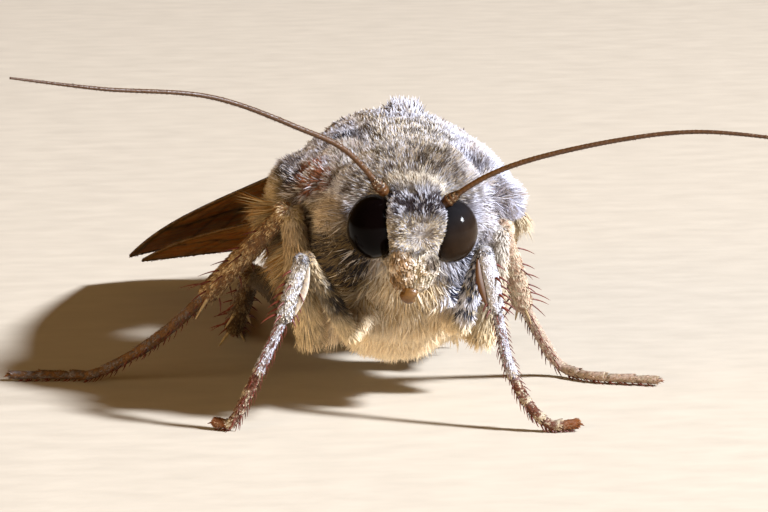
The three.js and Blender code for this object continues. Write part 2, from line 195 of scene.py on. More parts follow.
def mix(a, b, t):
    """Colour a where t is 0 and colour b where it is 1."""
    return a + (b - a) * np.asarray(t)[..., None]


def lattice(i, seed):
    """A random number from 0 to 1 for each whole-numbered place, always the same for the same seed."""
    h = (i[:, 0] * 73856093) ^ (i[:, 1] * 19349663) ^ (i[:, 2] * 83492791) ^ (seed * 15485863)
    h &= 0xFFFFFFFF
    h = ((h ^ (h >> 13)) * 1274126177) & 0xFFFFFFFF
    h ^= h >> 16
    return (h & 0xFFFFFF) / float(0x1000000)


def grain(points, size, seed=1):
    """Smooth noise from 0 to 1 with lumps about size across."""
    q = np.asarray(points, float) / size + 1000.0  # keeps the lattice numbers above zero
    i = np.floor(q).astype(np.int64)
    f = q - i
    f = f * f * (3 - 2 * f)
    out = np.zeros(len(q))
    for dx in (0, 1):
        for dy in (0, 1):
            for dz in (0, 1):
                share = (f[:, 0] if dx else 1 - f[:, 0]) * (f[:, 1] if dy else 1 - f[:, 1])
                share = share * (f[:, 2] if dz else 1 - f[:, 2])
                out += share * lattice(i + np.array([dx, dy, dz]), seed)
    return out


def clouds(points, size, seed=1):
    return 0.6 * grain(points, size, seed) + 0.4 * grain(points, size * 0.43, seed + 7)


def spline(points, n):
    """n points evenly along a centripetal curve through the given ones, their tangents and its length."""
    p = np.asarray(points, float)
    p = np.vstack([2 * p[0] - p[1], p, 2 * p[-1] - p[-2]])
    t = np.concatenate([[0], np.cumsum(np.linalg.norm(np.diff(p, axis=0), axis=1) ** 0.5)])
    out = []
    for k in range(1, len(p) - 2):
        t0, t1, t2, t3 = t[k - 1:k + 3]
        s = np.linspace(t1, t2, 60, endpoint=(k == len(p) - 3))[:, None]
        a1 = (t1 - s) / (t1 - t0) * p[k - 1] + (s - t0) / (t1 - t0) * p[k]
        a2 = (t2 - s) / (t2 - t1) * p[k] + (s - t1) / (t2 - t1) * p[k + 1]
        a3 = (t3 - s) / (t3 - t2) * p[k + 1] + (s - t2) / (t3 - t2) * p[k + 2]
        b1 = (t2 - s) / (t2 - t0) * a1 + (s - t0) / (t2 - t0) * a2
        b2 = (t3 - s) / (t3 - t1) * a2 + (s - t1) / (t3 - t1) * a3
        out.append((t2 - s) / (t2 - t1) * b1 + (s - t1) / (t2 - t1) * b2)
    out = np.vstack(out)
    far = np.concatenate([[0], np.cumsum(np.linalg.norm(np.diff(out, axis=0), axis=1))])
    at = np.linspace(0, far[-1], n)
    even = np.stack([np.interp(at, far, out[:, k]) for k in range(3)], axis=1)
    return even, unit(np.gradient(even, axis=0)), far[-1]


# ---------------------------------------------------------------- meshes

def new_piece(name, verts, faces, tint, mat, uv=None):
    """A mesh object from plan coordinates. faces is a list of arrays of triangles or quads."""
    faces = [f for f in faces if len(f)]
    me = bpy.data.meshes.new(name)
    verts = np.array(verts, float)
    verts[:, 2] = np.maximum(verts[:, 2], FLOOR)
    me.vertices.add(len(verts))
    me.vertices.foreach_set("co", row(verts).astype(np.float32).ravel())
    sizes = np.concatenate([np.full(len(f), f.shape[1]) for f in faces])
    corners = np.concatenate([f.ravel() for f in faces]).astype(np.int32)
    me.loops.add(len(corners))
    me.loops.foreach_set("vertex_index", corners)
    me.polygons.add(len(sizes))
    me.polygons.foreach_set("loop_start", np.concatenate([[0], np.cumsum(sizes)[:-1]]).astype(np.int32))
    me.polygons.foreach_set("use_smooth", np.ones(len(sizes), bool))
    rgba = np.ones((len(verts), 4), np.float32)
    rgba[:, :3] = np.clip(tint, 0, 1)
    me.attributes.new("tint", "FLOAT_COLOR", "POINT").data.foreach_set("color", rgba.ravel())
    if uv is not None:
        me.uv_layers.new(name="OFBake").data.foreach_set("uv", uv[corners].astype(np.float32).ravel())
    me.validate()
    me.update()
    me.materials.append(mat)
    ob = bpy.data.objects.new(name, me)
    bpy.context.scene.collection.objects.link(ob)
    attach(ob, "root")
    return ob


def sample(share, knots, values):
    """The rows of values at shares of the way along, between the given knots."""
    return np.stack([np.interp(share, knots, values[:, k]) for k in range(3)], axis=-1)


def square_to(tangent, across):
    """Unit directions square to each tangent: one on the side of across, and one square to both."""
    side = unit(across - (tangent @ across)[:, None] * tangent)
    return side, np.cross(side, tangent)


def closed_faces(rings, sides):
    """Quads between the rings of a closed sweep, and the triangles to the two end points after them."""
    i = np.arange(rings - 1)[:, None] * sides
    j = np.arange(sides)
    k = (j + 1) % sides
    quads = np.stack([i + j, i + k, i + k + sides, i + j + sides], axis=-1).reshape(-1, 4)
    last = (rings - 1) * sides
    start = np.stack([np.full(sides, rings * sides), k, j], axis=1)
    end = np.stack([np.full(sides, rings * sides + 1), last + j, last + k], axis=1)
    return quads, np.vstack([start, end])


def tube(path, tangent, radius, sides, across, flat=1.0):
    """Points, quads and end triangles of a swept tube. radius has one number per ring."""
    side, rise = square_to(tangent, across)
    a = np.linspace(0, 2 * math.pi, sides, endpoint=False)
    ring = side[:, None] * np.cos(a)[None, :, None] + rise[:, None] * np.sin(a)[None, :, None] * flat
    verts = (path[:, None] + ring * radius[:, None, None]).reshape(-1, 3)
    return np.vstack([verts, path[0], path[-1]]), *closed_faces(len(path), sides)


def globe(columns, rows):
    """Points, quads and pole triangles of a unit ball with its poles on X."""
    a = np.linspace(0, 2 * math.pi, columns, endpoint=False)
    b = np.linspace(0, math.pi, rows + 1)[1:-1]
    rings = np.stack([np.outer(np.cos(b), np.ones(columns)), np.outer(np.sin(b), np.cos(a)),
                      np.outer(np.sin(b), np.sin(a))], axis=-1).reshape(-1, 3)
    return np.vstack([rings, [[1, 0, 0], [-1, 0, 0]]]), *closed_faces(rows - 1, columns)


def vertex_normals(verts, tris):
    flat = np.cross(verts[tris[:, 1]] - verts[tris[:, 0]], verts[tris[:, 2]] - verts[tris[:, 0]])
    out = np.zeros_like(verts)
    for k in range(3):
        for axis in range(3):
            out[:, axis] += np.bincount(tris[:, k], weights=flat[:, axis], minlength=len(verts))
    return unit(out)


def triangles(quads):
    return np.vstack([quads[:, [0, 1, 2]], quads[:, [0, 2, 3]]])


NO_TRIS = np.zeros((0, 3), int)


class Heap:
    """Meshes gathered into one piece."""

    def __init__(self):
        self.verts, self.quads, self.tris, self.tint, self.count = [], [], [], [], 0

    def add(self, verts, quads, tris, tint):
        self.quads.append(quads + self.count)
        self.tris.append(tris + self.count)
        self.verts.append(verts)
        self.tint.append(np.broadcast_to(tint, (len(verts), 3)))
        self.count += len(verts)

    def piece(self, name, mat):
        faces = [np.vstack(self.quads), np.vstack(self.tris)]
        return new_piece(name, np.vstack(self.verts), faces, np.vstack(self.tint), mat)


# ---------------------------------------------------------------- materials

def add_node(tree, kind, **values):
    """A shader node with the named inputs set. An underscore stands for a space."""
    node = tree.nodes.new(kind)
    for entry, value in values.items():
        node.inputs[entry.replace("_", " ")].default_value = value
    return node


def join(tree, source, output, target, entry):
    tree.links.new(source.outputs[output], target.inputs[entry])


def material(name, rough, spec=0.4, through=0.0, bump=0.0, bump_size=20000.0, vary=0.12, vary_size=9000.0,
             color=None, coat=0.0, coat_rough=0.1, stretch=(1, 1, 1), rough_vary=0.08):
    """Noise varies colour, roughness and height. The colour is the mesh's tint unless one is given."""
    mat = bpy.data.materials.new(name)
    mat.use_nodes = True
    tree = mat.node_tree
    tree.nodes.clear()
    out = add_node(tree, "ShaderNodeOutputMaterial")
    main = add_node(tree, "ShaderNodeBsdfPrincipled", Specular_IOR_Level=spec, Coat_Weight=coat,
                    Coat_Roughness=coat_rough)
    where = add_node(tree, "ShaderNodeTexCoord")
    place = add_node(tree, "ShaderNodeMapping", Scale=stretch)
    join(tree, where, "Object", place, "Vector")
    speck = add_node(tree, "ShaderNodeTexNoise", Scale=vary_size, Detail=3.0)
    join(tree, place, "Vector", speck, "Vector")
    span = add_node(tree, "ShaderNodeMapRange", From_Min=0.3, From_Max=0.7, To_Min=1 - vary, To_Max=1 + vary)
    join(tree, speck, "Fac", span, "Value")
    shade = add_node(tree, "ShaderNodeMix")
    shade.data_type = "RGBA"
    shade.blend_type = "MULTIPLY"
    shade.inputs["Factor"].default_value = 1.0
    if color is None:
        tint = add_node(tree, "ShaderNodeAttribute")
        tint.attribute_name = "tint"
        join(tree, tint, "Color", shade, "A")
    else:
        shade.inputs["A"].default_value = (*color, 1)
    join(tree, span, "Result", shade, "B")
    join(tree, shade, "Result", main, "Base Color")
    matt = add_node(tree, "ShaderNodeMapRange", To_Min=max(0.03, rough - rough_vary),
                    To_Max=min(1.0, rough + rough_vary))
    join(tree, speck, "Fac", matt, "Value")
    join(tree, matt, "Result", main, "Roughness")
    if bump:
        fine = add_node(tree, "ShaderNodeTexNoise", Scale=bump_size, Detail=2.0)
        join(tree, place, "Vector", fine, "Vector")
        rise = add_node(tree, "ShaderNodeBump", Strength=bump, Distance=0.00003)
        join(tree, fine, "Fac", rise, "Height")
        join(tree, rise, "Normal", main, "Normal")
    if not through:
        join(tree, main, "BSDF", out, "Surface")
        return mat
    thin = add_node(tree, "ShaderNodeBsdfTranslucent")
    join(tree, shade, "Result", thin, "Color")
    blend = add_node(tree, "ShaderNodeMixShader", Fac=through)
    join(tree, main, "BSDF", blend, 1)
    join(tree, thin, "BSDF", blend, 2)
    join(tree, blend, "Shader", out, "Surface")
    return mat


def eye_material():
    """Glossy, with the facets as a fine honeycomb in its height."""
    mat = material("CompoundEye", 0.1, spec=0.05, vary=0.15, vary_size=3000, rough_vary=0.03)
    tree = mat.node_tree
    main = next(n for n in tree.nodes if n.type == "BSDF_PRINCIPLED")
    where = next(n for n in tree.nodes if n.type == "TEX_COORD")
    cell = add_node(tree, "ShaderNodeTexVoronoi", Scale=38000, Randomness=0.35)
    join(tree, where, "Object", cell, "Vector")
    rise = add_node(tree, "ShaderNodeBump", Strength=0.12, Distance=0.00001)
    rise.invert = True
    join(tree, cell, "Distance", rise, "Height")
    join(tree, rise, "Normal", main, "Normal")
    return mat


SKIN = material("Skin", 0.75, bump=0.6, bump_size=14000, vary=0.2)
HAIR = material("HairScales", 0.55, spec=0.3, through=0.26, vary=0.18, vary_size=26000)
DOWN = material("Down", 0.55, spec=0.3, through=0.22, vary=0.15, vary_size=22000)
FLAT_SCALE = material("FlatScales", 0.5, spec=0.4, through=0.12, vary=0.2, vary_size=30000)
WING_SCALE = material("WingScales", 0.7, spec=0.2, through=0.5, vary=0.2, vary_size=16000)
MEMBRANE = material("WingMembrane", 0.75, spec=0.15, through=0.72, bump=0.5, bump_size=9000, vary=0.15)
HORN = material("Horn", 0.4, spec=0.4, bump=0.3, bump_size=30000, vary=0.2, coat=0.08, coat_rough=0.3)
FEELER = material("FeelerRings", 0.42, spec=0.45, bump=0.5, bump_size=26000, vary=0.22, vary_size=18000)
CUTICLE = material("AmberCuticle", 0.42, spec=0.4, bump=0.3, bump_size=16000, vary=0.25, coat=0.1)


# ---------------------------------------------------------------- the skin

def gather_solids(names, swell):
    """One bare mesh of the named solids in the plan, each swollen a little so that they run together."""
    verts, tris, owner = [], [], []
    count = 0
    for name in names:
        me = NODES[name].data
        me.calc_loop_triangles()
        co = np.zeros(len(me.vertices) * 3)
        me.vertices.foreach_get("co", co)
        idx = np.zeros(len(me.loop_triangles) * 3, np.int64)
        me.loop_triangles.foreach_get("vertices", idx)
        co, idx = plan(co.reshape(-1, 3)), idx.reshape(-1, 3)
        keys, back = np.unique(np.round(co, 4), axis=0, return_inverse=True)
        idx = back.reshape(-1)[idx]
        idx = idx[(idx[:, 0] != idx[:, 1]) & (idx[:, 1] != idx[:, 2]) & (idx[:, 0] != idx[:, 2])]
        co = keys + vertex_normals(keys, idx) * swell
        verts.append(co)
        tris.append(idx + count)
        owner += [name] * len(idx)
        count += len(co)
    return np.vstack(verts), np.vstack(tris), owner


def ball(at, half):
    """A closed ellipsoid in trunk coordinates, brought to the plan."""
    points, quads, poles = globe(32, 20)
    return from_trunk(points[:, [1, 0, 2]] * half + at), np.vstack([triangles(quads), poles])


def remesh(verts, tris, voxel):
    """One closed skin of quads round everything that overlaps."""
    me = bpy.data.meshes.new("cast")
    me.from_pydata([tuple(v) for v in verts], [], [tuple(int(i) for i in t) for t in tris])
    ob = bpy.data.objects.new("cast", me)
    bpy.context.scene.collection.objects.link(ob)
    mod = ob.modifiers.new("cast", "REMESH")
    mod.mode = "VOXEL"
    mod.voxel_size = voxel
    dg = bpy.context.evaluated_depsgraph_get()
    done = ob.evaluated_get(dg).to_mesh()
    co = np.zeros(len(done.vertices) * 3)
    done.vertices.foreach_get("co", co)
    idx = np.zeros(len(done.loops), np.int64)
    done.loops.foreach_get("vertex_index", idx)
    ob.evaluated_get(dg).to_mesh_clear()
    bpy.data.objects.remove(ob)
    bpy.data.meshes.remove(me)
    return co.reshape(-1, 3), idx.reshape(-1, 4)


def edges(quads):
    return np.vstack([quads[:, [k, (k + 1) % 4]] for k in range(4)])


def both_ways(pairs):
    return np.vstack([pairs, pairs[:, ::-1]]).T


def relax(verts, quads, times):
    """Each point goes half the way to the middle of its neighbours, so many times."""
    n = len(verts)
    a, b = both_ways(np.unique(np.sort(edges(quads), axis=1), axis=0))
    near = np.bincount(a, minlength=n)
    for _ in range(times):
        mean = np.stack([np.bincount(a, weights=verts[b, k], minlength=n) for k in range(3)], axis=1)
        verts = verts + (mean / near[:, None] - verts) * 0.5
    return verts


def muzzle():
    """Rounder forms than the solids' for brow, cheeks, mouth cone and palps, each with its part's name."""
    forms = [
        ("head", ball(HEAD_AT + (0, -0.75, 0.3), (0.96, 0.64, 0.95))),
        ("head", ball(HEAD_AT + (-0.45, -0.8, 0.22), (0.66, 0.62, 0.86))),
        ("head", ball(HEAD_AT + (0.45, -0.8, 0.22), (0.66, 0.62, 0.86))),
        ("head", ball(HEAD_AT + (0, -0.85, -0.7), (0.72, 0.55, 0.55))),
    ]
    for side, sign in (("right", -1), ("left", 1)):
        # The palps are broad at the top of the mouth and narrow toward its foot.
        for at, half in (((0.38, -1.22, -0.84), (0.46, 0.42, 0.38)), ((0.26, -1.22, -1.2), (0.34, 0.38, 0.4)),
                         ((0.13, -1.15, -1.5), (0.21, 0.3, 0.28))):
            forms.append((f"palp_{side}", ball(HEAD_AT + np.multiply(at, (sign, 1, 1)), half)))
    return forms


def cast_body():
    """The skin of head, trunk and abdomen: its points, its quads and the part at each point."""
    swell, voxel = 0.05, 0.11
    verts, tris, owner = gather_solids(FLESH, swell)
    for name, (points, faces) in muzzle():
        tris = np.vstack([tris, faces + len(verts)])
        verts = np.vstack([verts, points])
        owner += [name] * len(faces)
    skin, quads = remesh(verts, tris, voxel)
    skin = relax(skin, quads, 10)
    tree = BVHTree.FromPolygons([Vector(v) for v in verts], [list(map(int, t)) for t in tris])
    names = sorted(set(owner))
    label = np.array([names.index(owner[tree.find_nearest(Vector(p))[2]]) for p in skin])
    depth = np.array([DEPTH[n.split("_")[1] if "coxa" in n else n.split("_")[0]] for n in names])[label]
    # The depth runs smoothly from one part to the next.
    a, b = both_ways(edges(quads))
    near = np.bincount(a, minlength=len(skin))
    for _ in range(8):
        depth = 0.5 * depth + 0.5 * np.bincount(a, weights=depth[b], minlength=len(skin)) / near
    skin = skin - vertex_normals(skin, triangles(quads)) * depth[:, None]
    return relax(skin, quads, 3), quads, np.array(names)[label]


BODY, BODY_QUADS, PART = cast_body()
BODY_TRIS = triangles(BODY_QUADS)
BODY_NORMAL = vertex_normals(BODY, BODY_TRIS)


# ---------------------------------------------------------------- markings

def blot(q, at, half):
    """1 at a mark's middle, 0 outside it."""
    d = np.linalg.norm((q - at) / half, axis=1)
    return 1 - smooth(0.55, 1.1, d)


def both(q, at, half):
    """The same mark at the same place on both sides."""
    return np.maximum(blot(q, at, half), blot(q, np.multiply(at, (-1, 1, 1)), half))


def flecks(p, size=0.13, seed=12):
    """A number from 0 to 1 that neighbouring scales share in part, so that they read as small locks."""
    return 0.5 + 0.75 * (grain(p, size, seed) - 0.5) + 0.3 * (RNG.random(len(p)) - 0.5)


def uneven(tips, low=0.85, span=0.3):
    """Each scale a little darker or lighter than the next."""
    return tips * (low + span * RNG.random((len(tips), 1)))


def smoke(q, fleck, tips):
    """A smoky patch each side of the mouth: black-brown on the right, blue-grey on the left."""
    patch = both(q, (1.85, -3.7, -0.68), (1.15, 2.3, 1.5))
    patch = np.maximum(patch, blot(q, (-2.3, -3.0, -0.15), (0.65, 1.1, 0.8)))
    right = mix(SOOT * 0.4, OLIVE * 1.1, smooth(0.5, 0.62, fleck))
    left = mix(INDIGO * 1.3, FROST, smooth(0.44, 0.56, fleck))
    tone = np.where((q[:, 0] > 0)[:, None], left, right)
    return mix(tips, tone, np.clip(patch * 1.25, 0, 1) * (fleck > 0.26))


def paint_back(p, q, pick, fleck, rubbed_and_lit):
    """Grey frosted scales with dark specks, an olive middle, a pale collar and a white crest."""
    lump = clouds(p, 0.42, 11)
    patch = clouds(p, 0.85, 17)
    x, y, z = q.T
    tips = mix(FROST, ASH, smooth(0.38, 0.6, fleck) * (1 - 0.35 * rubbed_and_lit))
    speckle = smooth(0.56, 0.68, fleck) * (0.25 + 0.75 * smooth(0.42, 0.6, lump))
    tips = mix(tips, mix(SOOT, PLUM, (pick > 0.6) * 0.7), speckle * (0.85 - 0.7 * rubbed_and_lit))
    mottle = smooth(0.53, 0.62, lump) * (z > 0.5) * (fleck > 0.34)
    tips = mix(tips, mix(SOOT, UMBER, (pick > 0.5) * 0.8), mottle * (0.78 - 0.55 * rubbed_and_lit))
    tips = mix(tips, mix(CREAM, RUST, (pick > 0.75) * 0.6), smooth(0.5, 0.62, patch) * 0.4)
    middle = (1 - smooth(0.7, 1.7, abs(x + 0.1))) * smooth(1.7, 2.3, z) * (1 - smooth(3.45, 3.75, z))
    olive = mix(mix(CREAM, FROST, (pick > 0.5) * 0.8), OLIVE * 0.6, smooth(0.46, 0.56, fleck))
    tips = mix(tips, olive, middle * 0.8)
    collar = (1 - smooth(1.5, 2.4, abs(x + 0.1))) * smooth(1.4, 1.8, z) * (1 - smooth(2.3, 2.8, z))
    collar = collar * (y < -2.2)
    pale = mix(srgb(200, 186, 166), FROST * 0.9, (pick > 0.5) * 0.8)
    tips = mix(tips, mix(pale, UMBER, smooth(0.48, 0.58, fleck) * 0.8), collar * 0.85)
    return mix(tips, FROST, blot(q, (0.1, 1.0, 3.8), (1.6, 2.2, 0.7)) * 0.7 * (pick > 0.25))


def paint_shoulders(q, tips, pick, fleck, rubbed_and_lit):
    """Rust and blue-black marks on the right. The left shoulder is rubbed: its marks are nearly gone, and
    painted light lifts it toward frost white where it faces the key and in the hollow before its tegula.
    """
    x, z = q[:, 0], q[:, 2]
    fresh = 1 - 0.96 * rubbed_and_lit
    rust = both(q, (3.0, -2.7, 1.95), (0.7, 1.1, 0.85))
    tips = mix(tips, mix(RUST, UMBER * 1.2, (pick > 0.5) * 0.8), rust * 0.92 * fresh * (fleck > 0.32))
    blue = both(q, (3.7, -1.7, 1.4), (0.8, 1.5, 1.0)) + both(q, (2.5, -3.0, 2.75), (0.55, 0.8, 0.35)) * 0.8
    blue += both(q, (1.9, -1.9, 3.2), (0.6, 1.2, 0.45)) * 0.8 + both(q, (3.4, -2.2, 1.2), (0.4, 0.7, 0.45))
    tips = mix(tips, mix(INDIGO, SOOT, (pick > 0.5) * 0.8) * 0.5,
               np.clip(blue * 1.3, 0, 1) * fresh * (fleck > 0.36))
    # Painted light: where the rubbed left shoulder faces the key, its scales are painted toward frost white.
    shine = rubbed_and_lit * smooth(-0.9, 0.2, z) * smooth(1.2, 2.4, x)
    tips = mix(tips, FROST, shine * 0.75 * (fleck < 0.58))
    tips = tips * (1 - 0.3 * shine * smooth(1.6, 2.4, z) * smooth(2.0, 3.0, x))[:, None]
    # Painted light: the shaded hollow in front of the left tegula is painted bright frost.
    return mix(tips, FROST * 1.05, blot(q, (2.9, -2.6, 1.6), (0.8, 1.0, 0.8)) * 0.8 * (fleck < 0.62))


def paint_trunk(p):
    """Tip and root colour of the coat of thorax, collar, tegulae and coxae at plan points."""
    q = to_trunk(p) + (clouds(p, 0.5, 3)[:, None] - 0.5) * 0.7
    pick = RNG.random(len(p))
    fleck = flecks(p)
    x, y, z = q.T
    rubbed_and_lit = smooth(0.6, 1.6, x) * (1 - 0.8 * smooth(-1.0, 1.2, y))
    tips = paint_shoulders(q, paint_back(p, q, pick, fleck, rubbed_and_lit), pick, fleck, rubbed_and_lit)
    # Below the shoulders the coat is straw and cream.
    low = (1 - smooth(-0.9, 0.5, z)) * (1 - 0.7 * rubbed_and_lit * smooth(-1.6, -0.6, z))
    breast = mix(CREAM, STRAW, smooth(0.35, 0.65, fleck))
    breast = mix(breast, UMBER, smooth(0.6, 0.68, fleck) * 0.5 * smooth(-2.6, -1.6, z))
    tips = mix(tips, breast, low * 0.92)
    # Painted light: the right cheek, on the shaded side, is painted a bright straw, with real umber flecks in
    # it.
    cheek = smooth(-1.4, -0.4, z) * (1 - smooth(1.0, 1.7, z)) * smooth(1.5, 2.3, -x)
    tips = mix(tips, mix(STRAW * 1.25, UMBER, smooth(0.54, 0.66, fleck) * 0.5), cheek * 0.75)
    tips = smoke(q, fleck, tips)
    tips = mix(tips, srgb(250, 232, 200), (1 - smooth(-2.6, -1.8, z)) * 0.9)
    pleura = smooth(3.0, 3.8, -x) * (1 - smooth(-0.2, 1.0, z))
    tips = mix(tips, mix(OCHRE, STRAW, (pick > 0.5) * 0.6), pleura * 0.4)
    root = mix(tips * 0.34, SOOT * 0.6, 0.3 * (1 - low) * (1 - rubbed_and_lit))
    # Painted light: on the breast and on the rubbed, lit left shoulder the roots are painted nearly as pale
    # as the tips, lifting the shade between the hairs.
    root = mix(root, tips * 0.95, low)
    root = mix(root, tips * 0.88, rubbed_and_lit * (1 - low))
    return uneven(tips, 0.86, 0.28), root


def paint_palp(p):
    """Cream scales, with an amber patch on the right palp and a brown mark on the left one."""
    q = to_trunk(p) - HEAD_AT
    fleck = flecks(p, 0.14, 31)
    tips = mix(srgb(230, 218, 204), CREAM * 0.85, smooth(0.42, 0.6, fleck))
    amber = (1 - smooth(-0.22, 0.02, q[:, 0])) * smooth(-0.82, -0.6, q[:, 0]) * (fleck > 0.34)
    tips = mix(tips, mix(srgb(148, 106, 50), UMBER, smooth(0.56, 0.68, fleck) * 0.5), amber * 0.8)
    tips = mix(tips, UMBER * 0.8, blot(q, (0.5, -1.5, -0.66), (0.26, 0.6, 0.16)) * 0.9)
    tips = mix(tips, UMBER * 0.8, smooth(0.6, 0.7, fleck) * 0.3)
    return uneven(tips, 0.8, 0.4), tips * 0.62


def paint_head(p):
    """A frosted face, plum-black between the feeler roots, with painted shade in the crease over the mouth.
    """
    q = to_trunk(p) - HEAD_AT + (clouds(p, 0.3, 23)[:, None] - 0.5) * 0.25
    pick = RNG.random(len(p))
    fleck = flecks(p, 0.1, 22)
    x, y, z = q.T
    tips = mix(FROST * 0.92, CREAM * 0.95, (pick > 0.3) * 0.9)
    tips = mix(tips, mix(UMBER, OLIVE, (pick > 0.5) * 0.9), smooth(0.5, 0.6, fleck) * 0.85)
    tips = mix(tips, FROST, blot(q, (0.1, -1.35, 0.0), (0.3, 0.5, 0.35)) * 0.35)
    # Painted shade: a dark umber line along the crease between the face and the mouth.
    crease_shade = np.exp(-((z + 0.46) / 0.08) ** 2) * (y < -0.9)
    tips = mix(tips, UMBER * 0.6, crease_shade * 0.85)
    band = smooth(0.3, 0.62, z) * (1 - smooth(1.05, 1.35, z)) * (y < -0.4)
    tips = mix(tips, mix(PLUM, FROST, smooth(0.57, 0.63, fleck)), band * 0.97)
    crown = mix(srgb(204, 192, 174), UMBER, smooth(0.46, 0.56, fleck) * 0.9)
    tips = mix(tips, crown, smooth(1.05, 1.3, z) * 0.9)
    tips = mix(tips, paint_palp(p)[0], (1 - smooth(-0.66, -0.5, z)) * 0.85)
    ring = smooth(0.85, 1.05, abs(x)) * (y > -0.9)
    tips = mix(tips, mix(CREAM, SOOT, (pick > 0.6) * 0.9), ring * 0.6)
    return uneven(tips), tips * 0.36


ABDOMEN_ROOT = np.array([0.05, 4.3, 2.6])
SEGMENT = 1.83  # the length of one segment of the abdomen


def paint_abdomen(p):
    """Straw and ash, darker on the back, with a cream rim to each segment and an ochre end."""
    q = p - ABDOMEN_ROOT
    pick = RNG.random(len(p))
    tips = mix(STRAW * 0.85, ASH * 0.9, smooth(0.3, 0.75, clouds(p, 0.5, 51)))
    tips = mix(tips, UMBER, (pick > 0.62) * 0.55 * smooth(-0.4, 0.6, q[:, 2] + 0.1 * q[:, 1]))
    rims = np.abs((q[:, 1] / SEGMENT) % 1 - 0.94) < 0.09
    tips = mix(tips, CREAM, rims * 0.55)
    tips = mix(tips, srgb(196, 160, 104), smooth(9.2, 10.4, q[:, 1]) * 0.7)
    return uneven(tips), tips * 0.4


# ---------------------------------------------------------------- the coat

QUICK = 1.0
FINE = (0.6, 1.0, 0.0)
DOWNY = (0.85, 1.0, 0.0)
ROOT_DEPTH = 0.03  # vanes start this far under the surface that they stand on


def amount(n):
    return int(n * QUICK)


def columns(*parts):
    """Numbers and arrays side by side, as the columns of one array."""
    return np.stack(np.broadcast_arrays(*parts), axis=1)


def scatter(weight, count):
    """Random roots over the skin, denser where weight is larger, and the normals there."""
    a, b, c = (BODY[BODY_TRIS[:, k]] for k in range(3))
    area = np.linalg.norm(np.cross(b - a, c - a), axis=1) / 2
    total = np.cumsum(area * weight[BODY_TRIS].mean(axis=1))
    # Even steps along the running total keep the roots evenly spread.
    at = (np.arange(count) + RNG.random(count)) / count * total[-1]
    corners = BODY_TRIS[np.clip(np.searchsorted(total, at), 0, len(BODY_TRIS) - 1)]
    u, v = RNG.random(count), RNG.random(count)
    u, v = np.where(u + v > 1, 1 - u, u), np.where(u + v > 1, 1 - v, v)
    share = columns(1 - u - v, u, v)[:, :, None]
    return (BODY[corners] * share).sum(axis=1), unit((BODY_NORMAL[corners] * share).sum(axis=1))


def lay_flat(lie, n):
    return unit(lie - (lie * n).sum(axis=1)[:, None] * n)


def pull_together(p, n, lie, length, clump, clump_size):
    """Vanes lean toward the nearest of a few chosen ones, so that they stand in small locks."""
    seeds = p[RNG.choice(len(p), max(2, len(p) // 26), replace=False)]
    tree = KDTree(len(seeds))
    for k, seed in enumerate(seeds):
        tree.insert(Vector(seed), k)
    tree.balance()
    pull = seeds[[tree.find(Vector(x))[1] for x in p]] - p
    far = np.linalg.norm(pull, axis=1, keepdims=True)
    pull = np.where(far < clump_size, pull, pull * clump_size / np.maximum(far, 1e-9))
    return lay_flat(unit(lie + pull / np.reshape(length, (-1, 1)) * clump), n)


def blades(name, p, n, lie, length, width, tips, roots, uv, mat, lift, shape,
           jitter=14, roll=28, wobble=6.0, clump=0.0, clump_size=0.5):
    """Thin vanes with their roots at p. They leave the skin at lift[0] degrees and end at lift[1].

    shape has their share of the width at the root, the middle and the tip; a tip of 0 is one point.
    """
    count = len(p)
    lie = lay_flat(lie, n)
    turn = np.radians(RNG.normal(0, jitter, count))[:, None]
    lie = lie * np.cos(turn) + np.cross(n, lie) * np.sin(turn)
    if clump:
        lie = pull_together(p, n, lie, length, clump, clump_size)
    side = unit(np.cross(n, lie))
    step = (length * (0.75 + 0.5 * RNG.random(count)))[:, None] / 2
    width = width * (0.8 + 0.4 * RNG.random(count))
    bend = np.radians(np.broadcast_to(lift, (count, 2)) + RNG.normal(0, wobble, (count, 1)))
    tilt = np.radians(RNG.normal(0, roll, count))[:, None]
    verts, tint = np.zeros((2, count, 3, 2, 3))
    spot = p - n * ROOT_DEPTH
    for k, (t, share) in enumerate(zip((0, 0.5, 1), shape)):
        angle = (bend[:, 0] + (bend[:, 1] - bend[:, 0]) * t)[:, None]
        if k:
            spot = spot + (lie * np.cos(angle) + n * np.sin(angle)) * step
        up = n * np.cos(angle) - lie * np.sin(angle)
        half = (side * np.cos(tilt) + up * np.sin(tilt)) * (width * share / 2)[:, None]
        verts[:, k, 0] = spot - half
        verts[:, k, 1] = spot + half
        tint[:, k] = (roots + (tips - roots) * t ** 1.3)[:, None]
    # Each vane takes a small patch of the map, at the place that its root has on the part.
    corner = 0.0015
    patch = np.zeros((count, 3, 2, 2))
    patch[..., 0] = (-corner, corner)
    patch[..., 1] = np.array([-corner, 0, corner])[:, None]
    patch += np.clip(uv, 0.002, 0.998)[:, None, None]
    verts, tint, patch = (x.reshape(count, 6, -1) for x in (verts, tint, patch))
    faces = []
    if shape[-1] == 0:
        verts[:, -2] = verts[:, -2:].mean(axis=1)
        verts, tint, patch = (x[:, :-1] for x in (verts, tint, patch))
        faces.append(np.arange(count)[:, None] * 5 + (2, 3, 4))
    each = verts.shape[1]
    first = np.arange(count)[:, None] * each + np.arange(each // 2 - 1)[None] * 2
    faces.insert(0, np.stack([first, first + 1, first + 3, first + 2], axis=-1).reshape(-1, 4))
    ob = new_piece(name, verts.reshape(-1, 3), faces, tint.reshape(-1, 3), mat, patch.reshape(-1, 2))


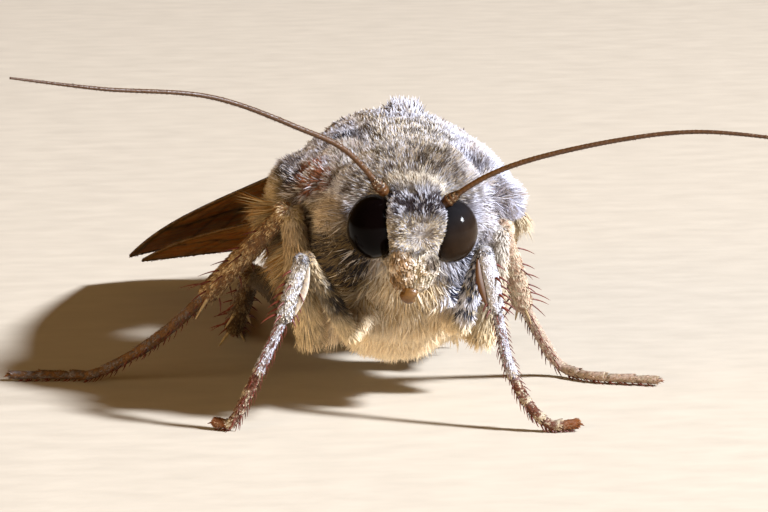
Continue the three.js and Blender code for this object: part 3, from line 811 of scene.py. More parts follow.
def unwrap(p, centre):
    """Round and along a part about the Y axis through its centre, both from 0 to 1."""
    d = unit(p - np.asarray(centre))
    a = unit((1.0, 0.0, -0.3))
    b = np.cross((0.0, 1.0, 0.0), a)
    round_it = np.arctan2(d @ b, d @ a) / (2 * math.pi) + 0.5
    return columns(round_it, np.arccos(np.clip(d[:, 1], -1, 1)) / math.pi)


Q = to_trunk(BODY)
is_coxa = np.array(["coxa" in n for n in PART])
is_trunk = np.isin(PART, ["thorax", "collar", "tegula_right", "tegula_left"]) | is_coxa
is_head = PART == "head"
is_palp = np.array([n.startswith("palp") for n in PART])
is_abdomen = np.array([n.startswith("abdomen") for n in PART])
EYE_AT = {side: plan(box_middle(f"eye_{side}")) for side in SIDES}
EYE_HALF = np.array([0.83, 0.94, 0.99])
off_eye = np.ones(len(BODY), bool)
for centre in EYE_AT.values():
    off_eye &= np.linalg.norm((BODY - centre) / EYE_HALF, axis=1) > 0.98


def coat(name, mask, count, lie, paint, length, width, mat, slot, centre, lift, shape, clump, clump_size):
    """A layer of vanes over the points of the skin in mask."""
    p, n = scatter((mask & off_eye).astype(float), amount(count))
    tips, roots = paint(p)
    measure = length(p) if callable(length) else length
    angles = lift(p) if callable(lift) else lift
    blades(name, p, n, lie(p), measure, width, tips, roots, unwrap(p, centre), mat, angles, shape,
           clump=clump, clump_size=clump_size)


# ---------------------------------------------------------------- thorax

THORAX_AT = from_trunk([0, 0.5, 0])
HOLLOW = (2.85, -2.7, 1.4), (0.6, 0.7, 0.7)  # where the left shoulder is rubbed, with longer hair


def trunk_lie(p):
    """Hair runs away from the head over the shoulders and flanks, and down and back below."""
    q = to_trunk(p)
    low = 1 - smooth(-2.0, 1.0, q[:, 2])
    return turn_from_trunk((q - HEAD_AT) * (1.0, 0.7, 1.0) + (0, 1.6, 0) + columns(0, low * 1.5, -low * 1.2))


def hang_lie(p):
    """Hair hangs down and a little out and back."""
    return turn_from_trunk(columns(to_trunk(p)[:, 0] * 0.12, 0.25, -1.0))


def bridge_lie(p):
    """Hair runs out from beside the eyes, over the hollow in front of each shoulder."""
    return turn_from_trunk(columns(np.sign(to_trunk(p)[:, 0]), 0.1, -0.3))


def tuft_lie(p):
    """Long hair under the wing roots hangs out, back and down."""
    q = to_trunk(p)
    return turn_from_trunk(columns(np.where(q[:, 0] > 0, 0.35, -0.9), 0.3, q[:, 2] * 0.2 - 0.8))


def back_lift(p):
    """Scales stand up on the crest, behind the head, at the right rim and in the left hollow."""
    q = to_trunk(p)
    stand = blot(q, (0.15, 1.0, 3.7), (0.6, 1.2, 0.8)) * 26
    stand += (1 - smooth(1.0, 2.6, np.abs(q[:, 0]))) * smooth(-1.2, -2.6, q[:, 1]) * 16
    stand += smooth(2.9, 3.5, -q[:, 0]) * smooth(0.2, 1.2, q[:, 2]) * 26
    stand += 10 * (grain(p, 0.3, 9) - 0.5) + blot(q, *HOLLOW) * 30
    return columns(24 + stand, 12 + stand * 1.2)


def low_lift(p):
    """Hair stands off the belly."""
    q = to_trunk(p)
    belly = smooth(-2.4, -3.4, q[:, 2]) * (q[:, 1] < 0.5)
    return columns(30 + 22 * belly, 4 + 26 * belly)


def varied(least, span, size, seed):
    """A length that changes in lumps about size across."""
    return lambda p: least + span * grain(p, size, seed)


def back_length(p):
    return 0.3 + 0.18 * grain(p, 0.4, 5) + 0.2 * blot(to_trunk(p), (0.15, 1.1, 3.7), (0.6, 1.0, 0.8))


def plate_length(p):
    """Longer in the left hollow and at the right rim."""
    q = to_trunk(p)
    return 0.29 + 0.16 * grain(p, 0.4, 5) + 0.2 * blot(q, *HOLLOW) + 0.25 * smooth(3.0, 3.5, -q[:, 0])


def tuft_length(p):
    return (1.2 + 0.6 * grain(p, 0.6, 8)) * np.where(p[:, 0] > 0, 0.6, 1.0)


def paint_tuft(p):
    fleck = flecks(p, 0.2, 33)
    tips = mix(OCHRE * 0.9, STRAW * 0.9, smooth(0.3, 0.5, fleck))
    tips = mix(tips, UMBER, smooth(0.54, 0.66, fleck) * 0.7)
    tips = mix(tips, CREAM, (p[:, 0] > 0) * 0.6)
    return uneven(tips), tips * 0.6


def trunk_coat(name, mask, count, length, width, clump, clump_size, lift=back_lift, lie=trunk_lie, mat=HAIR,
               shape=FINE, paint=paint_trunk):
    coat(name, mask, count, lie, paint, length, width, mat, "thorax_scales", THORAX_AT, lift, shape, clump,
         clump_size)


def coat_thorax():
    upper = is_trunk & (Q[:, 2] > 0.1)
    lower = is_trunk & (Q[:, 2] <= 0.1) & ~is_coxa
    front, breast = Q[:, 1] < -0.6, Q[:, 1] < -0.8
    collar = (PART == "collar") & (Q[:, 2] > 0.1)
    tegula = {side: (PART == f"tegula_{side}") & (Q[:, 2] > 0.1) for side in SIDES}
    middle = upper & ~(collar | tegula["right"] | tegula["left"])
    beside = (np.abs(Q[:, 0] - 2.25) < 0.4) & (np.abs(Q[:, 2] - 0.9) < 1.1)
    beside |= (np.abs(Q[:, 0] + 2.25) < 0.4) & (np.abs(Q[:, 2] - 0.6) < 0.7)
    beside &= is_trunk & (Q[:, 1] < -2.0)
    wing_root = (np.abs(Q[:, 0]) > 2.7) & (np.abs(Q[:, 2] + 0.75) < 1.75) & (np.abs(Q[:, 1] - 0.6) < 2.2)
    down = dict(mat=DOWN, shape=DOWNY)
    # Name, place, number of hairs, their length and width, how much they draw together and how far.
    trunk_coat("coat_collar", collar, 46000, plate_length, 0.037, 0.4, 0.22)
    for side in SIDES:
        trunk_coat(f"coat_tegula_{side}", tegula[side], 42000, plate_length, 0.04, 0.4, 0.25)
    trunk_coat("coat_shoulders", middle & front, 36000, back_length, 0.04, 0.4, 0.25)
    trunk_coat("coat_back", middle & ~front, 26000, back_length, 0.07, 0.4, 0.3)
    trunk_coat("coat_bridge", beside, 14000, varied(0.65, 0.3, 0.3, 7), 0.036, 0.4, 0.2, (30, -4),
               bridge_lie)
    trunk_coat("coat_breast", lower & breast, 42000, varied(0.6, 0.3, 0.5, 6), 0.036, 0.6, 0.24, low_lift,
               **down)
    trunk_coat("coat_flanks", lower & ~breast, 24000, varied(0.65, 0.25, 0.7, 6), 0.055, 0.5, 0.3, low_lift,
               **down)
    trunk_coat("coat_coxae", is_coxa, 18000, varied(0.4, 0.2, 0.5, 6), 0.045, 0.5, 0.2, (20, 2), hang_lie,
               **down)
    trunk_coat("coat_wing_tufts", wing_root & is_trunk, 13000, tuft_length, 0.042, 0.9, 0.4, (48, 24),
               tuft_lie, paint=paint_tuft, **down)


coat_thorax()


# ---------------------------------------------------------------- head and abdomen

def head_lie(p):
    """Scales spread from the middle of the face: up to the crown, out to the eyes, down to the mouth."""
    q = to_trunk(p) - HEAD_AT
    swirl = clouds(p, 0.25, 27)[:, None] - 0.5
    face = unit((q - (0.1, -0.9, 0.0)) * (1.0, 0.6, 1.0)) + swirl * (1.6, 0.0, 0.6)
    behind = smooth(-0.5, 0.1, q[:, 1])[:, None]
    return turn_from_trunk(face * (1 - behind) + columns(q[:, 0] * 0.5, 1.0, 0.5) * behind)


def head_lift(p):
    stand = smooth(0.2, 0.9, (to_trunk(p) - HEAD_AT)[:, 2])
    return columns(24 + 26 * stand, 14 + 30 * stand)


def head_length(p):
    """Longer on the crown, but short beside the eyes."""
    x, y, z = (to_trunk(p) - HEAD_AT).T
    beside = smooth(0.55, 0.85, np.abs(x)) * (y < -0.3)
    return 0.17 + (0.1 * smooth(0.3, 0.7, z) + 0.16 * smooth(0.95, 1.3, z)) * (1 - 0.7 * beside)


def palp_lie(p):
    return turn_from_trunk(columns((to_trunk(p) - HEAD_AT)[:, 0] * -0.45, -0.3, -1.0))


def rear_lie(p):
    return np.tile((0, 1, -0.12), (len(p), 1))


def abdomen_length(p):
    """Longest in the tuft at the end."""
    return 0.42 + 0.55 * smooth(12.6, 15, p[:, 1])


coat("coat_face", is_head, 34000, head_lie, paint_head, head_length, 0.034, HAIR, "head_scales",
     from_trunk(HEAD_AT), head_lift, FINE, 0.35, 0.12)
coat("coat_palps", is_palp, 8000, palp_lie, paint_palp, 0.25, 0.095, HAIR, "head_scales",
     from_trunk(HEAD_AT + (0, -0.6, -1.2)), (9, -2), (0.7, 1.0, 0.5), 0.25, 0.12)
coat("coat_abdomen", is_abdomen, 17000, rear_lie, paint_abdomen, abdomen_length, 0.11, FLAT_SCALE,
     "abdomen_scales", (0.05, 9.5, 2.6), (14, 4), (0.6, 1.0, 0.4), 0.2, 0.3)


# ---------------------------------------------------------------- legs

TARSUS_ENDS = np.array([0, 0.42, 0.6, 0.75, 0.88, 1.0])


def tarsus_girth(t, first, last):
    """Five joints, the first nearly half the length, each a little wider at its far end."""
    k = np.clip(np.searchsorted(TARSUS_ENDS, t, side="right") - 1, 0, 4)
    joint = TARSUS_ENDS[k + 1] - TARSUS_ENDS[k]
    s = (t - TARSUS_ENDS[k]) / joint
    return (first + (last - first) * t) * (1 - 0.28 * np.exp(-((s * joint) / 0.012) ** 2) + 0.16 * s ** 2)


def build_limbs():
    """Femur, tibia and tarsus of each leg as a path with its radius."""
    limbs = []
    for name, leg in LEGS.items():
        pair = name.split("_")[0]
        across = unit(np.cross(np.subtract(leg["foot"][-1], leg["knee"]), (0, 0, 1)))
        for part, points, n in (("femur", [leg["hip"], leg["knee"]], 60),
                                ("tibia", [leg["knee"], leg["ankle"]], 60),
                                ("tarsus", [leg["ankle"], *leg["foot"]], 150)):
            path, tangent, far = spline(points, n)
            t = np.linspace(0, 1, n)
            if part == "tarsus":
                radius = tarsus_girth(t, *GIRTH[pair][part])
                path[:, 2] = np.maximum(path[:, 2], radius + 0.04)
            else:
                radius = np.interp(t, (0, 0.45, 1), GIRTH[pair][part])
            end = np.minimum(t, 1 - t) * far
            radius = radius * np.sqrt(1 - (1 - np.clip(end / 0.14, 0, 1)) ** 2 * 0.85)
            limbs.append(dict(leg=name, pair=pair, part=part, path=path, tangent=tangent, radius=radius,
                              far=far, across=across, t=t))
    return limbs


LIMBS = build_limbs()


def paint_thigh(p):
    """Thighs wear the trunk's coat, paler on the left and a little more olive on the right; the right hind
    thigh carries painted shade.
    """
    tips, roots = paint_trunk(p)
    left = p[:, 0] > 0
    tips = mix(tips, np.where(left[:, None], CREAM, OLIVE), np.where(left, 0.6, 0.3))
    q = to_trunk(p)
    tips = smoke(q, flecks(p), tips)
    tips = mix(tips, srgb(232, 208, 166), (1 - smooth(-2.5, -1.7, q[:, 2])) * (q[:, 1] < 0) * 0.7)
    # Painted shade: the right hind thigh, in the body's shadow, is painted dark umber.
    hind = smooth(1.6, 2.4, p[:, 1]) * (1 - left)
    return mix(tips, UMBER * 0.5, hind * 0.85), roots


def paint_fore_shin(right, fleck):
    tips = mix(FROST, CREAM, smooth(0.3, 0.5, fleck) * (0.8 if right else 0.3))
    return mix(tips, UMBER, smooth(0.54, 0.6, fleck) * (0.85 if right else 0.3)) * (0.84 if right else 1.0)


def paint_shin(right, hind, fleck):
    if right:
        tips = mix(STRAW, WOOD, smooth(0.3, 0.5, fleck))
        # Painted shade: the right hind shin, in the body's shadow, is painted at 0.42 of its colour.
        return mix(tips, UMBER, smooth(0.58, 0.68, fleck) * 0.7) * (0.42 if hind else 1.0)
    tips = mix(CREAM, srgb(206, 172, 148), smooth(0.35, 0.55, fleck))
    return mix(tips, WOOD, smooth(0.6, 0.68, fleck) * 0.6)


def paint_foot(right, fleck, t):
    if right:
        tips = mix(WOOD * 1.1, UMBER * 1.2, smooth(0.4, 0.6, fleck))
        return mix(tips, ASH, smooth(0.58, 0.68, fleck) * 0.4)
    tips = mix(srgb(206, 178, 158), WOOD, smooth(0.45, 0.6, fleck) * (0.35 + 0.6 * t))
    return mix(tips, CREAM, smooth(0.58, 0.68, fleck) * 0.8)


def paint_fore_foot(fleck, t):
    """Grey at first, then red-brown with pale ends to the joints."""
    brown = srgb(112, 66, 46)
    tips = mix(FROST, ASH, smooth(0.4, 0.55, fleck))
    tips = mix(tips, brown, smooth(0.56, 0.64, fleck) * 0.9)
    dark = mix(brown, CREAM, smooth(0.62, 0.68, fleck) * 0.9)
    near = np.min(np.abs(t[:, None] - (TARSUS_ENDS[1:-1] - 0.02)), axis=1)
    dark = mix(dark, CREAM, np.exp(-(near / 0.02) ** 2) * smooth(0.38, 0.52, fleck) * 0.9)
    tips = mix(tips, dark, smooth(0.36, 0.44, t + 0.1 * (fleck - 0.5)))
    return mix(tips, srgb(146, 88, 42), smooth(0.87, 0.9, t) * 0.7)


def paint_leg(limb, t, p):
    """The colour of the scales of a shin or foot."""
    fleck = flecks(p, 0.08, 41)
    right = limb["leg"].endswith("right")
    fore = limb["pair"] == "fore"
    if limb["part"] == "tibia":
        return paint_fore_shin(right, fleck) if fore else paint_shin(right, limb["pair"] == "hind", fleck)
    return paint_fore_foot(fleck, t) if fore else paint_foot(right, fleck, t)


def build_skin():
    heap = Heap()
    tips = np.zeros((len(BODY), 3))
    for mask, paint in ((is_trunk, paint_trunk), (is_head, paint_head), (is_palp, paint_palp),
                        (is_abdomen, paint_abdomen)):
        tips[mask] = paint(BODY[mask])[0]
    # Painted shade: the skin under the coat is painted at half the coat's tip colour, as the coat shades it.
    heap.add(BODY, BODY_QUADS, NO_TRIS, tips * 0.5)
    sides = 14
    for limb in LIMBS:
        radius = limb["radius"] - ROOT_DEPTH
        verts, quads, tris = tube(limb["path"], limb["tangent"], radius, sides, limb["across"])
        # Painted shade: the legs' skin under their scales is painted at 0.35 to 0.45 of the scales' colour.
        if limb["part"] == "femur":
            tint = paint_thigh(verts[:-2])[0] * 0.35
        else:
            tint = paint_leg(limb, np.repeat(limb["t"], sides), verts[:-2]) * 0.45
        heap.add(verts, quads, tris, np.vstack([tint, tint[:1], tint[-1:]]))
    ob = heap.piece("skin", SKIN)
    legs = [f"{pair}_{part}_{side}" for pair in PAIRS for part in GIRTH[pair] for side in SIDES]
    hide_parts(*FLESH, *legs)


build_skin()

THIGH_HAIR = {"fore": 0.36, "mid": 0.55, "hind": 0.36}
LEG_SCALE = {"tibia": 0.18, "tarsus": 0.14}
LEG_DENSITY = {"femur": 460, "tibia": 480, "tarsus": 410}


def map_place(index, lanes, turn, along):
    """Each length of leg has a lane of the map: round it across the lane, along it up the lane."""
    return columns((index + 0.1 + 0.8 * turn / (2 * math.pi)) / lanes, along)


def coat_limb(limb, index, lanes):
    """Vanes of one length of leg: roots, normals, lie, length, width, tips, root colours, map, lift."""
    thigh = limb["part"] == "femur"
    fore = limb["pair"] == "fore"
    short = fore and not thigh
    area = 2 * math.pi * limb["radius"].mean() * limb["far"]
    count = amount(int(area * (LEG_DENSITY[limb["part"]] + 420 * short)))
    t = (np.arange(count) + RNG.random(count)) / count
    a = RNG.random(count) * 2 * math.pi
    tangent = unit(sample(t, limb["t"], limb["tangent"]))
    across, rise = square_to(tangent, limb["across"])
    n = across * np.cos(a)[:, None] + rise * np.sin(a)[:, None]
    radius = np.interp(t, limb["t"], limb["radius"]) - ROOT_DEPTH
    spots = sample(t, limb["t"], limb["path"]) + n * radius[:, None]
    tips = paint_thigh(spots)[0] if thigh else paint_leg(limb, t, spots)
    size = THIGH_HAIR[limb["pair"]] if thigh else LEG_SCALE[limb["part"]]
    length = np.full(count, 0.105 if short else size) * (1 - 0.4 * t * thigh)
    low = 22.0 if thigh or short else 12.0
    # Scales point to the foot; the hair of the thighs hangs with the coat of the breast.
    rows = [(spots, n, -tangent if thigh else tangent, length, np.full(count, 0.05 if short else 0.04),
             uneven(tips), tips * 0.45, map_place(index, lanes, a, t), np.tile([low + 6, low], (count, 1)))]
    if limb["part"] == "tarsus":
        return rows
    # The round end of each length at the knee.
    count = amount(700 if fore else 1100)
    turn, dip = RNG.random(count) * 2 * math.pi, np.arccos(RNG.random(count))
    end, way, share = (-1, -1, 0.94) if thigh else (0, 1, 0.06)
    d = tangent[end] * way
    n = np.outer(-np.cos(dip), d) + np.outer(np.sin(dip) * np.cos(turn), across[end])
    n += np.outer(np.sin(dip) * np.sin(turn), rise[end])
    wide = np.interp(share, limb["t"], limb["radius"])
    spots = limb["path"][end] + d * wide + n * wide * 0.92
    tips = paint_thigh(spots)[0] if thigh else paint_leg(limb, np.zeros(count), spots)
    if fore:
        tips = mix(tips, INDIGO * 1.4, (RNG.random(count) > 0.5) * 0.8)
    rows.append((spots, n, d + RNG.normal(0, 0.15, n.shape), np.full(count, 0.13 if fore else 0.24),
                 np.full(count, 0.045), tips, tips * 0.45, map_place(index, lanes, turn, float(thigh)),
                 np.tile([30.0, 16.0], (count, 1))))
    return rows


def coat_legs(side):
    own = [limb for limb in LIMBS if limb["leg"].endswith(side)]
    rows = sum((coat_limb(limb, index, len(own)) for index, limb in enumerate(own)), [])
    p, n, lie, length, width, tips, roots, uv, lift = map(np.concatenate, zip(*rows))
    blades(f"coat_legs_{side}", p, n, lie, length, width, tips, roots, uv, FLAT_SCALE, lift,
           FINE, jitter=10, roll=16)


for side in SIDES:
    coat_legs(side)


# ---------------------------------------------------------------- spines, spurs and claws

def thorn(base, aim, length, radius, bow=(0, 0, 0), sides=6, rings=7, blunt=0.0):
    """A tapering spine that bows toward a direction."""
    aim = unit(aim)
    t = np.linspace(0, 1, rings)
    path = base + aim * (t * length)[:, None] + np.asarray(bow) * (t ** 2 * length)[:, None]
    thick = radius * ((1 - t) ** 0.7 * (1 - blunt) + blunt) + 0.004
    return tube(path, unit(np.gradient(path, axis=0)), thick, sides, unit(np.cross(aim, (0.31, 0.17, 0.93))))


def side_of(limb):
    return -1 if limb["leg"].endswith("right") else 1


def spot_on(limb, share, out):
    """A point on a limb's surface on the side of out, the limb's direction there, and the way out of it."""
    p = sample(share, limb["t"], limb["path"])
    d = unit(sample(share, limb["t"], limb["tangent"]))
    n = unit(out - (out @ d) * d)
    return p + n * np.interp(share, limb["t"], limb["radius"]) * 0.9, d, n


def inner_side(limb):
    return np.array([-side_of(limb), -0.45, -0.1])


def add_spines(heap, limb):
    """Rows of red-brown spines: two on each side of a shin, three short and dense ones under a foot."""
    outward, inward = np.array([side_of(limb), -0.25, 0.1]), inner_side(limb)
    shin, fore = limb["part"] == "tibia", limb["pair"] == "fore"
    if shin:
        size = 0.32 if fore else 0.5
        outer, inner = (0.3, 0.5, 0.64, 0.76, 0.87, 0.95), (0.4, 0.58, 0.72, 0.85, 0.96)
        rows = [(outer, outward, size), (inner, inward, size * 0.8),
                (outer[1::2], outward + (0, -1.2, 0), size * 0.8),
                (inner[1::2], inward + (0, 1.2, 0), size * 0.8)]
        ahead, thick = 0.4, 0.04 if fore else 0.028
    else:
        steps = np.linspace(0.03, 0.95, 26)
        rows = [(steps, inward - (0, 0, 0.8), 0.19), (steps, outward - (0, 0, 1.4), 0.16),
                (steps[::2], np.array([0, -0.6, -1.0]), 0.15)]
        ahead, thick = 0.9, 0.019
    for shares, out, size in rows:
        for share in shares:
            share = min(0.985, share + RNG.normal(0, 0.006))
            base, d, n = spot_on(limb, share, out + RNG.normal(0, 0.12, 3))
            long = size * (0.75 + 0.5 * RNG.random()) * (1.15 if shin and share > 0.85 else 1)
            parts = thorn(base, n * 0.8 + d * ahead, long, thick, d * 0.5)
            heap.add(*parts, SPINE * (0.75 + 0.5 * RNG.random()))


def add_spurs(heap, limb):
    """Pairs of blunt spurs: one pair at the end of a middle shin, two pairs on a hind one."""
    leg = LEGS[limb["leg"]]
    shin = unit(np.subtract(leg["ankle"], leg["knee"]))
    for step in range(SPUR_ROWS[limb["pair"]]):
        base = leg["ankle"] - shin * (0.45 + 1.9 * step)
        aim = unit(shin + np.array([0, 0, -0.75]))
        for s, far in ((-1, 1.25), (1, 1.0)):
            out = unit(aim + limb["across"] * s * 0.4)
            parts = thorn(base, out, far, 0.075, sides=8, rings=12, blunt=0.15)
            heap.add(*parts, mix(STRAW * 0.8, UMBER, RNG.random(len(parts[0])) * 0.6))


def add_flap(heap, limb):
    """The leaf on the inner side of a fore shin. The left one shows its bare face, the right its scales."""
    left = side_of(limb) > 0
    share = np.linspace(0, 1, 26)
    leaf = []
    for s in share:
        base, _, n = spot_on(limb, 0.16 + 0.74 * s, inner_side(limb))
        leaf.append(base + n * (0.03 + 0.05 * math.sin(math.pi * s)))
    leaf = np.array(leaf)
    wide = 0.012 + (0.14 if left else 0.105) * np.sin(math.pi * np.clip(share * 0.96 + 0.02, 0, 1)) ** 0.7
    parts = tube(leaf, unit(np.gradient(leaf, axis=0)), wide, 10, unit(inner_side(limb)), 0.5)
    frosted = mix(CREAM, ASH * 0.8, RNG.random(len(parts[0])) * 0.9) * 0.8
    heap.add(*parts, AMBER * 0.16 if left else frosted)


def add_claws(heap, limb):
    """Two hooked claws and a pad between them."""
    end = limb["path"][-1]
    heading = unit(end - limb["path"][-8])
    base = end - heading * 0.1
    for s in (-1, 1):
        aim = unit(heading + limb["across"] * s * 0.5)
        verts, quads, tris = thorn(base, aim, 0.3, 0.042, (0, 0, -0.22), sides=7, rings=9)
        verts[:, 2] = np.maximum(verts[:, 2], 0.012)
        heap.add(verts, quads, tris, srgb(96, 48, 14))
    pad = thorn(base + (0, 0, -0.03), heading, 0.14, 0.06, sides=8, rings=6, blunt=0.5)
    heap.add(*pad, srgb(150, 96, 40))


def build_spines():
    spines, claws, spurs = Heap(), Heap(), Heap()
    for limb in LIMBS:
        if limb["part"] == "tibia":
            add_spines(spines, limb)
            add_spurs(spurs, limb)
            if limb["pair"] == "fore":
                add_flap(spurs, limb)
        if limb["part"] == "tarsus":
            add_spines(spines, limb)
            add_claws(claws, limb)
    for heap, name, mat in ((spines, "leg_spines", HORN), (claws, "claws", HORN),
                            (spurs, "spurs", FLAT_SCALE)):
        ob = heap.piece(name, mat)


build_spines()


# ---------------------------------------------------------------- eyes, proboscis, feelers

def build_eye(side):
    """The right eye is black; the left one has a painted sheen, smoky grey above and brown toward its outer
    foot.
    """
    points, quads, tris = globe(120, 80)
    verts = points * EYE_HALF @ TURN.T + EYE_AT[side]
    # Painted sheen: the left eye's tint is smoky grey above and brown toward its outer foot; the right eye is
    # plain black.
    foot = smooth(-0.4, 0.7, points @ (0.6, -0.2, -0.75))
    dark = mix(srgb(22, 21, 23), srgb(38, 27, 18), foot) if side == "left" else srgb(4, 2, 2)
    tint = dark * (0.8 + 0.4 * grain(verts, 0.5, 3)[:, None])
    ob = new_piece(f"eye_dome_{side}", verts, [quads, tris], tint, EYE)
    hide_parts(f"eye_{side}")


def build_proboscis():
    """The tongue, coiled between the palps and widest across the middle of its coil."""
    centre = plan(box_middle("proboscis")) + (-0.1, -0.22, 0.0)
    t = np.linspace(0, 1, 220)
    a = 2 * math.pi * 2.6 * t + 2.2
    reach = 0.25 - 0.2 * t
    path = columns(0.02 * np.sin(3 * a), reach * np.cos(a), reach * np.sin(a))
    radius = (0.085 - 0.035 * t) * (1 + 0.05 * np.sin(t * 2 * math.pi * 70))
    tangent = unit(np.gradient(path, axis=0))
    verts, quads, tris = tube(path, tangent, radius, 12, np.array([1.0, 0, 0]))
    verts[:, 0] *= 2.6 * np.sqrt(np.clip(1 - (verts[:, 2] / 0.36) ** 2, 0.05, 1))
    tint = srgb(92, 62, 26) * (0.8 + 0.4 * grain(verts, 0.06, 9)[:, None])
    ob = new_piece("proboscis_coil", verts @ TURN.T + centre, [quads, tris], tint, CUTICLE)
    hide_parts("proboscis")


SCAPE = 0.045  # the share of a feeler that its thick first joints take


def build_feeler(side):
    """About eighty short joints, each a touch wider at its far end."""
    joints, per, sides = 82, 5, 12
    path, tangent, _ = spline(ANTENNA[side], joints * per)
    t = np.linspace(0, 1, joints * per)
    s = (np.arange(joints * per) % per) / per
    radius = np.interp(t, (0, 0.02, 0.04, 0.055, 0.3, 0.8, 1.0), (0.15, 0.2, 0.16, 0.09, 0.082, 0.06, 0.035))
    radius = radius * (0.93 + 0.13 * s)
    verts, quads, tris = tube(path, tangent, radius, sides, FEELER_ACROSS)
    along = np.repeat(t, sides)
    tone = mix(srgb(82, 50, 14), srgb(72, 44, 16), smooth(0.05, 0.4, along)) * 0.8
    tone = mix(tone, srgb(56, 34, 20), (np.repeat(s, sides) > 0.7) * 0.4)
    tone = mix(tone, srgb(74, 44, 14), 1 - smooth(0.015, 0.04, along))
    tone = np.vstack([tone, tone[:1], tone[-1:]])
    ob = new_piece(f"feeler_{side}", verts, [quads, tris], tone, FEELER)
    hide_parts(*[f"antenna_{side}_{x}" for x in ("scape", "inner", "outer")])
    coat_feeler(side, t, path, tangent, radius)


def coat_feeler(side, t, path, tangent, radius):
    """Scales lie in rings over the upper side, and short bristles stand out below."""
    count = amount(4200)
    u = RNG.random(count) ** 1.1 * 0.97
    u[:380] *= SCAPE
    d = unit(sample(u, t, tangent))
    a, b = square_to(d, FEELER_ACROSS)
    under = np.arange(count) % 3 == 0
    angle = np.where(under, RNG.normal(0, 0.9, count), math.pi + RNG.normal(0, 1.0, count))
    down = 1 if b[:, 2].mean() < 0 else -1
    n = a * np.sin(angle)[:, None] + b * down * np.cos(angle)[:, None]
    tips = mix(srgb(96, 64, 22), srgb(52, 32, 12), RNG.random(count) > 0.4)
    tips = mix(tips, srgb(190, 170, 150), ~under * (RNG.random(count) > 0.8) * 0.6)
    scape = mix(CREAM * 0.8, UMBER * 0.6, RNG.random(count) > 0.3)
    tips = mix(tips, scape, (u < SCAPE) * 0.9)
    under &= u > SCAPE
    lift = np.where(under[:, None], [[62.0, 50.0]], [[10.0, 6.0]])
    spots = sample(u, t, path) + n * np.interp(u, t, radius)[:, None]
    length, width = np.where(under, 0.075, 0.11), np.where(under, 0.014, 0.04)
    blades(f"feeler_scales_{side}", spots, n, d, length, width, tips, tips * 0.5,
           columns(u, (angle / (2 * math.pi)) % 1.0), FLAT_SCALE, lift, FINE, jitter=8, roll=8)


EYE = eye_material()
FEELER_ACROSS = np.array([0.0, 1.0, 0.0])
for side in SIDES:
    build_eye(side)
build_proboscis()
for side in SIDES:
    build_feeler(side)


# ---------------------------------------------------------------- wings

def wing_point(name, u, v, off=0.0):
    """A point of the wing: u from root to rim, v from the costa to the inner edge, off above the middle."""
    w = WINGS[name]
    span = np.subtract(w["apex"], w["root"])
    length = np.linalg.norm(span)
    along = span / length
    chord = np.array([1.0 if name.endswith("right") else -1.0, 0, w["rise"]])
    chord = unit(chord - (chord @ along) * along)
    normal = np.cross(along, chord)
    up = math.copysign(1.0, normal[2])
    u = u * 0.97
    near = u * length
    rim = w["rim"] * u ** 6 * np.sin(math.pi * v)
    a = near + (u * length * w["tornus"] - near) * v + rim
    costa = -w["costa"] * np.sin(math.pi * u)
    b = costa + (w["root_chord"] + (w["chord"] - w["root_chord"]) * u - costa) * v
    fall = w["curl"] * b ** 3 + w["droop"] * np.sin(math.pi * u) * (1 - v)
    c = off * up - up * fall
    return w["root"] + along * a[..., None] + chord * b[..., None] + normal * c[..., None]


def wing_lie(name, u, v, off, step=0.01):
    """The direction toward the rim at a point of the wing, and the normal of its upper side."""
    ahead = wing_point(name, np.minimum(u + step, 1), v, off) - wing_point(name, u - 0.01, v, off)
    cross = wing_point(name, u, v + 0.01, off) - wing_point(name, u, v - 0.01, off)
    n = unit(np.cross(ahead, cross))
    return unit(ahead), n * np.sign(n[:, 2])[:, None]


def vein(u, v):
    """How close a point of the wing is to a vein, from 0 to 1."""
    near = np.zeros_like(u)
    for start, end in ((0.04, 0.03), (0.1, 0.16), (0.14, 0.28), (0.3, 0.4), (0.42, 0.52), (0.55, 0.64),
                       (0.7, 0.76), (0.86, 0.9)):
        at = start + (end - start) * smooth(0.1, 0.75, u)
        near = np.maximum(near, np.exp(-((v - at) / 0.012) ** 2))
    return near


def paint_beneath(name, u, v, pick, lump):
    """Plain warm brown, with dark edges and one cross line."""
    tips = mix(srgb(238, 176, 88), srgb(250, 206, 120), smooth(0.2, 0.9, lump))
    tips = mix(tips, STRAW, smooth(0.86, 1.0, u) * 0.3 + (pick > 0.85) * 0.3)
    tips = mix(tips, UMBER * 0.7, np.exp(-((u - 0.62 - 0.03 * np.sin(14 * v)) / 0.03) ** 2) * 0.5)
    tips = mix(tips, WOOD * 0.8, (1 - smooth(0.01, 0.05, v)) * 0.7 + smooth(0.96, 0.99, v) * 0.7)
    return tips * (1.0 if name.endswith("right") else 0.6)


CROSS_LINES = ((0.16, 0.012, SOOT, 0.6), (0.3, 0.014, SOOT, 0.8), (0.325, 0.01, CREAM, 0.6),
               (0.66, 0.014, SOOT, 0.8), (0.685, 0.01, CREAM, 0.6), (0.86, 0.02, CREAM, 0.5),
               (0.84, 0.014, UMBER, 0.6))
ROUND_SPOT = (0.42, 0.24), (0.035, 0.07), STRAW
KIDNEY_SPOT = (0.56, 0.26), (0.045, 0.1), CREAM


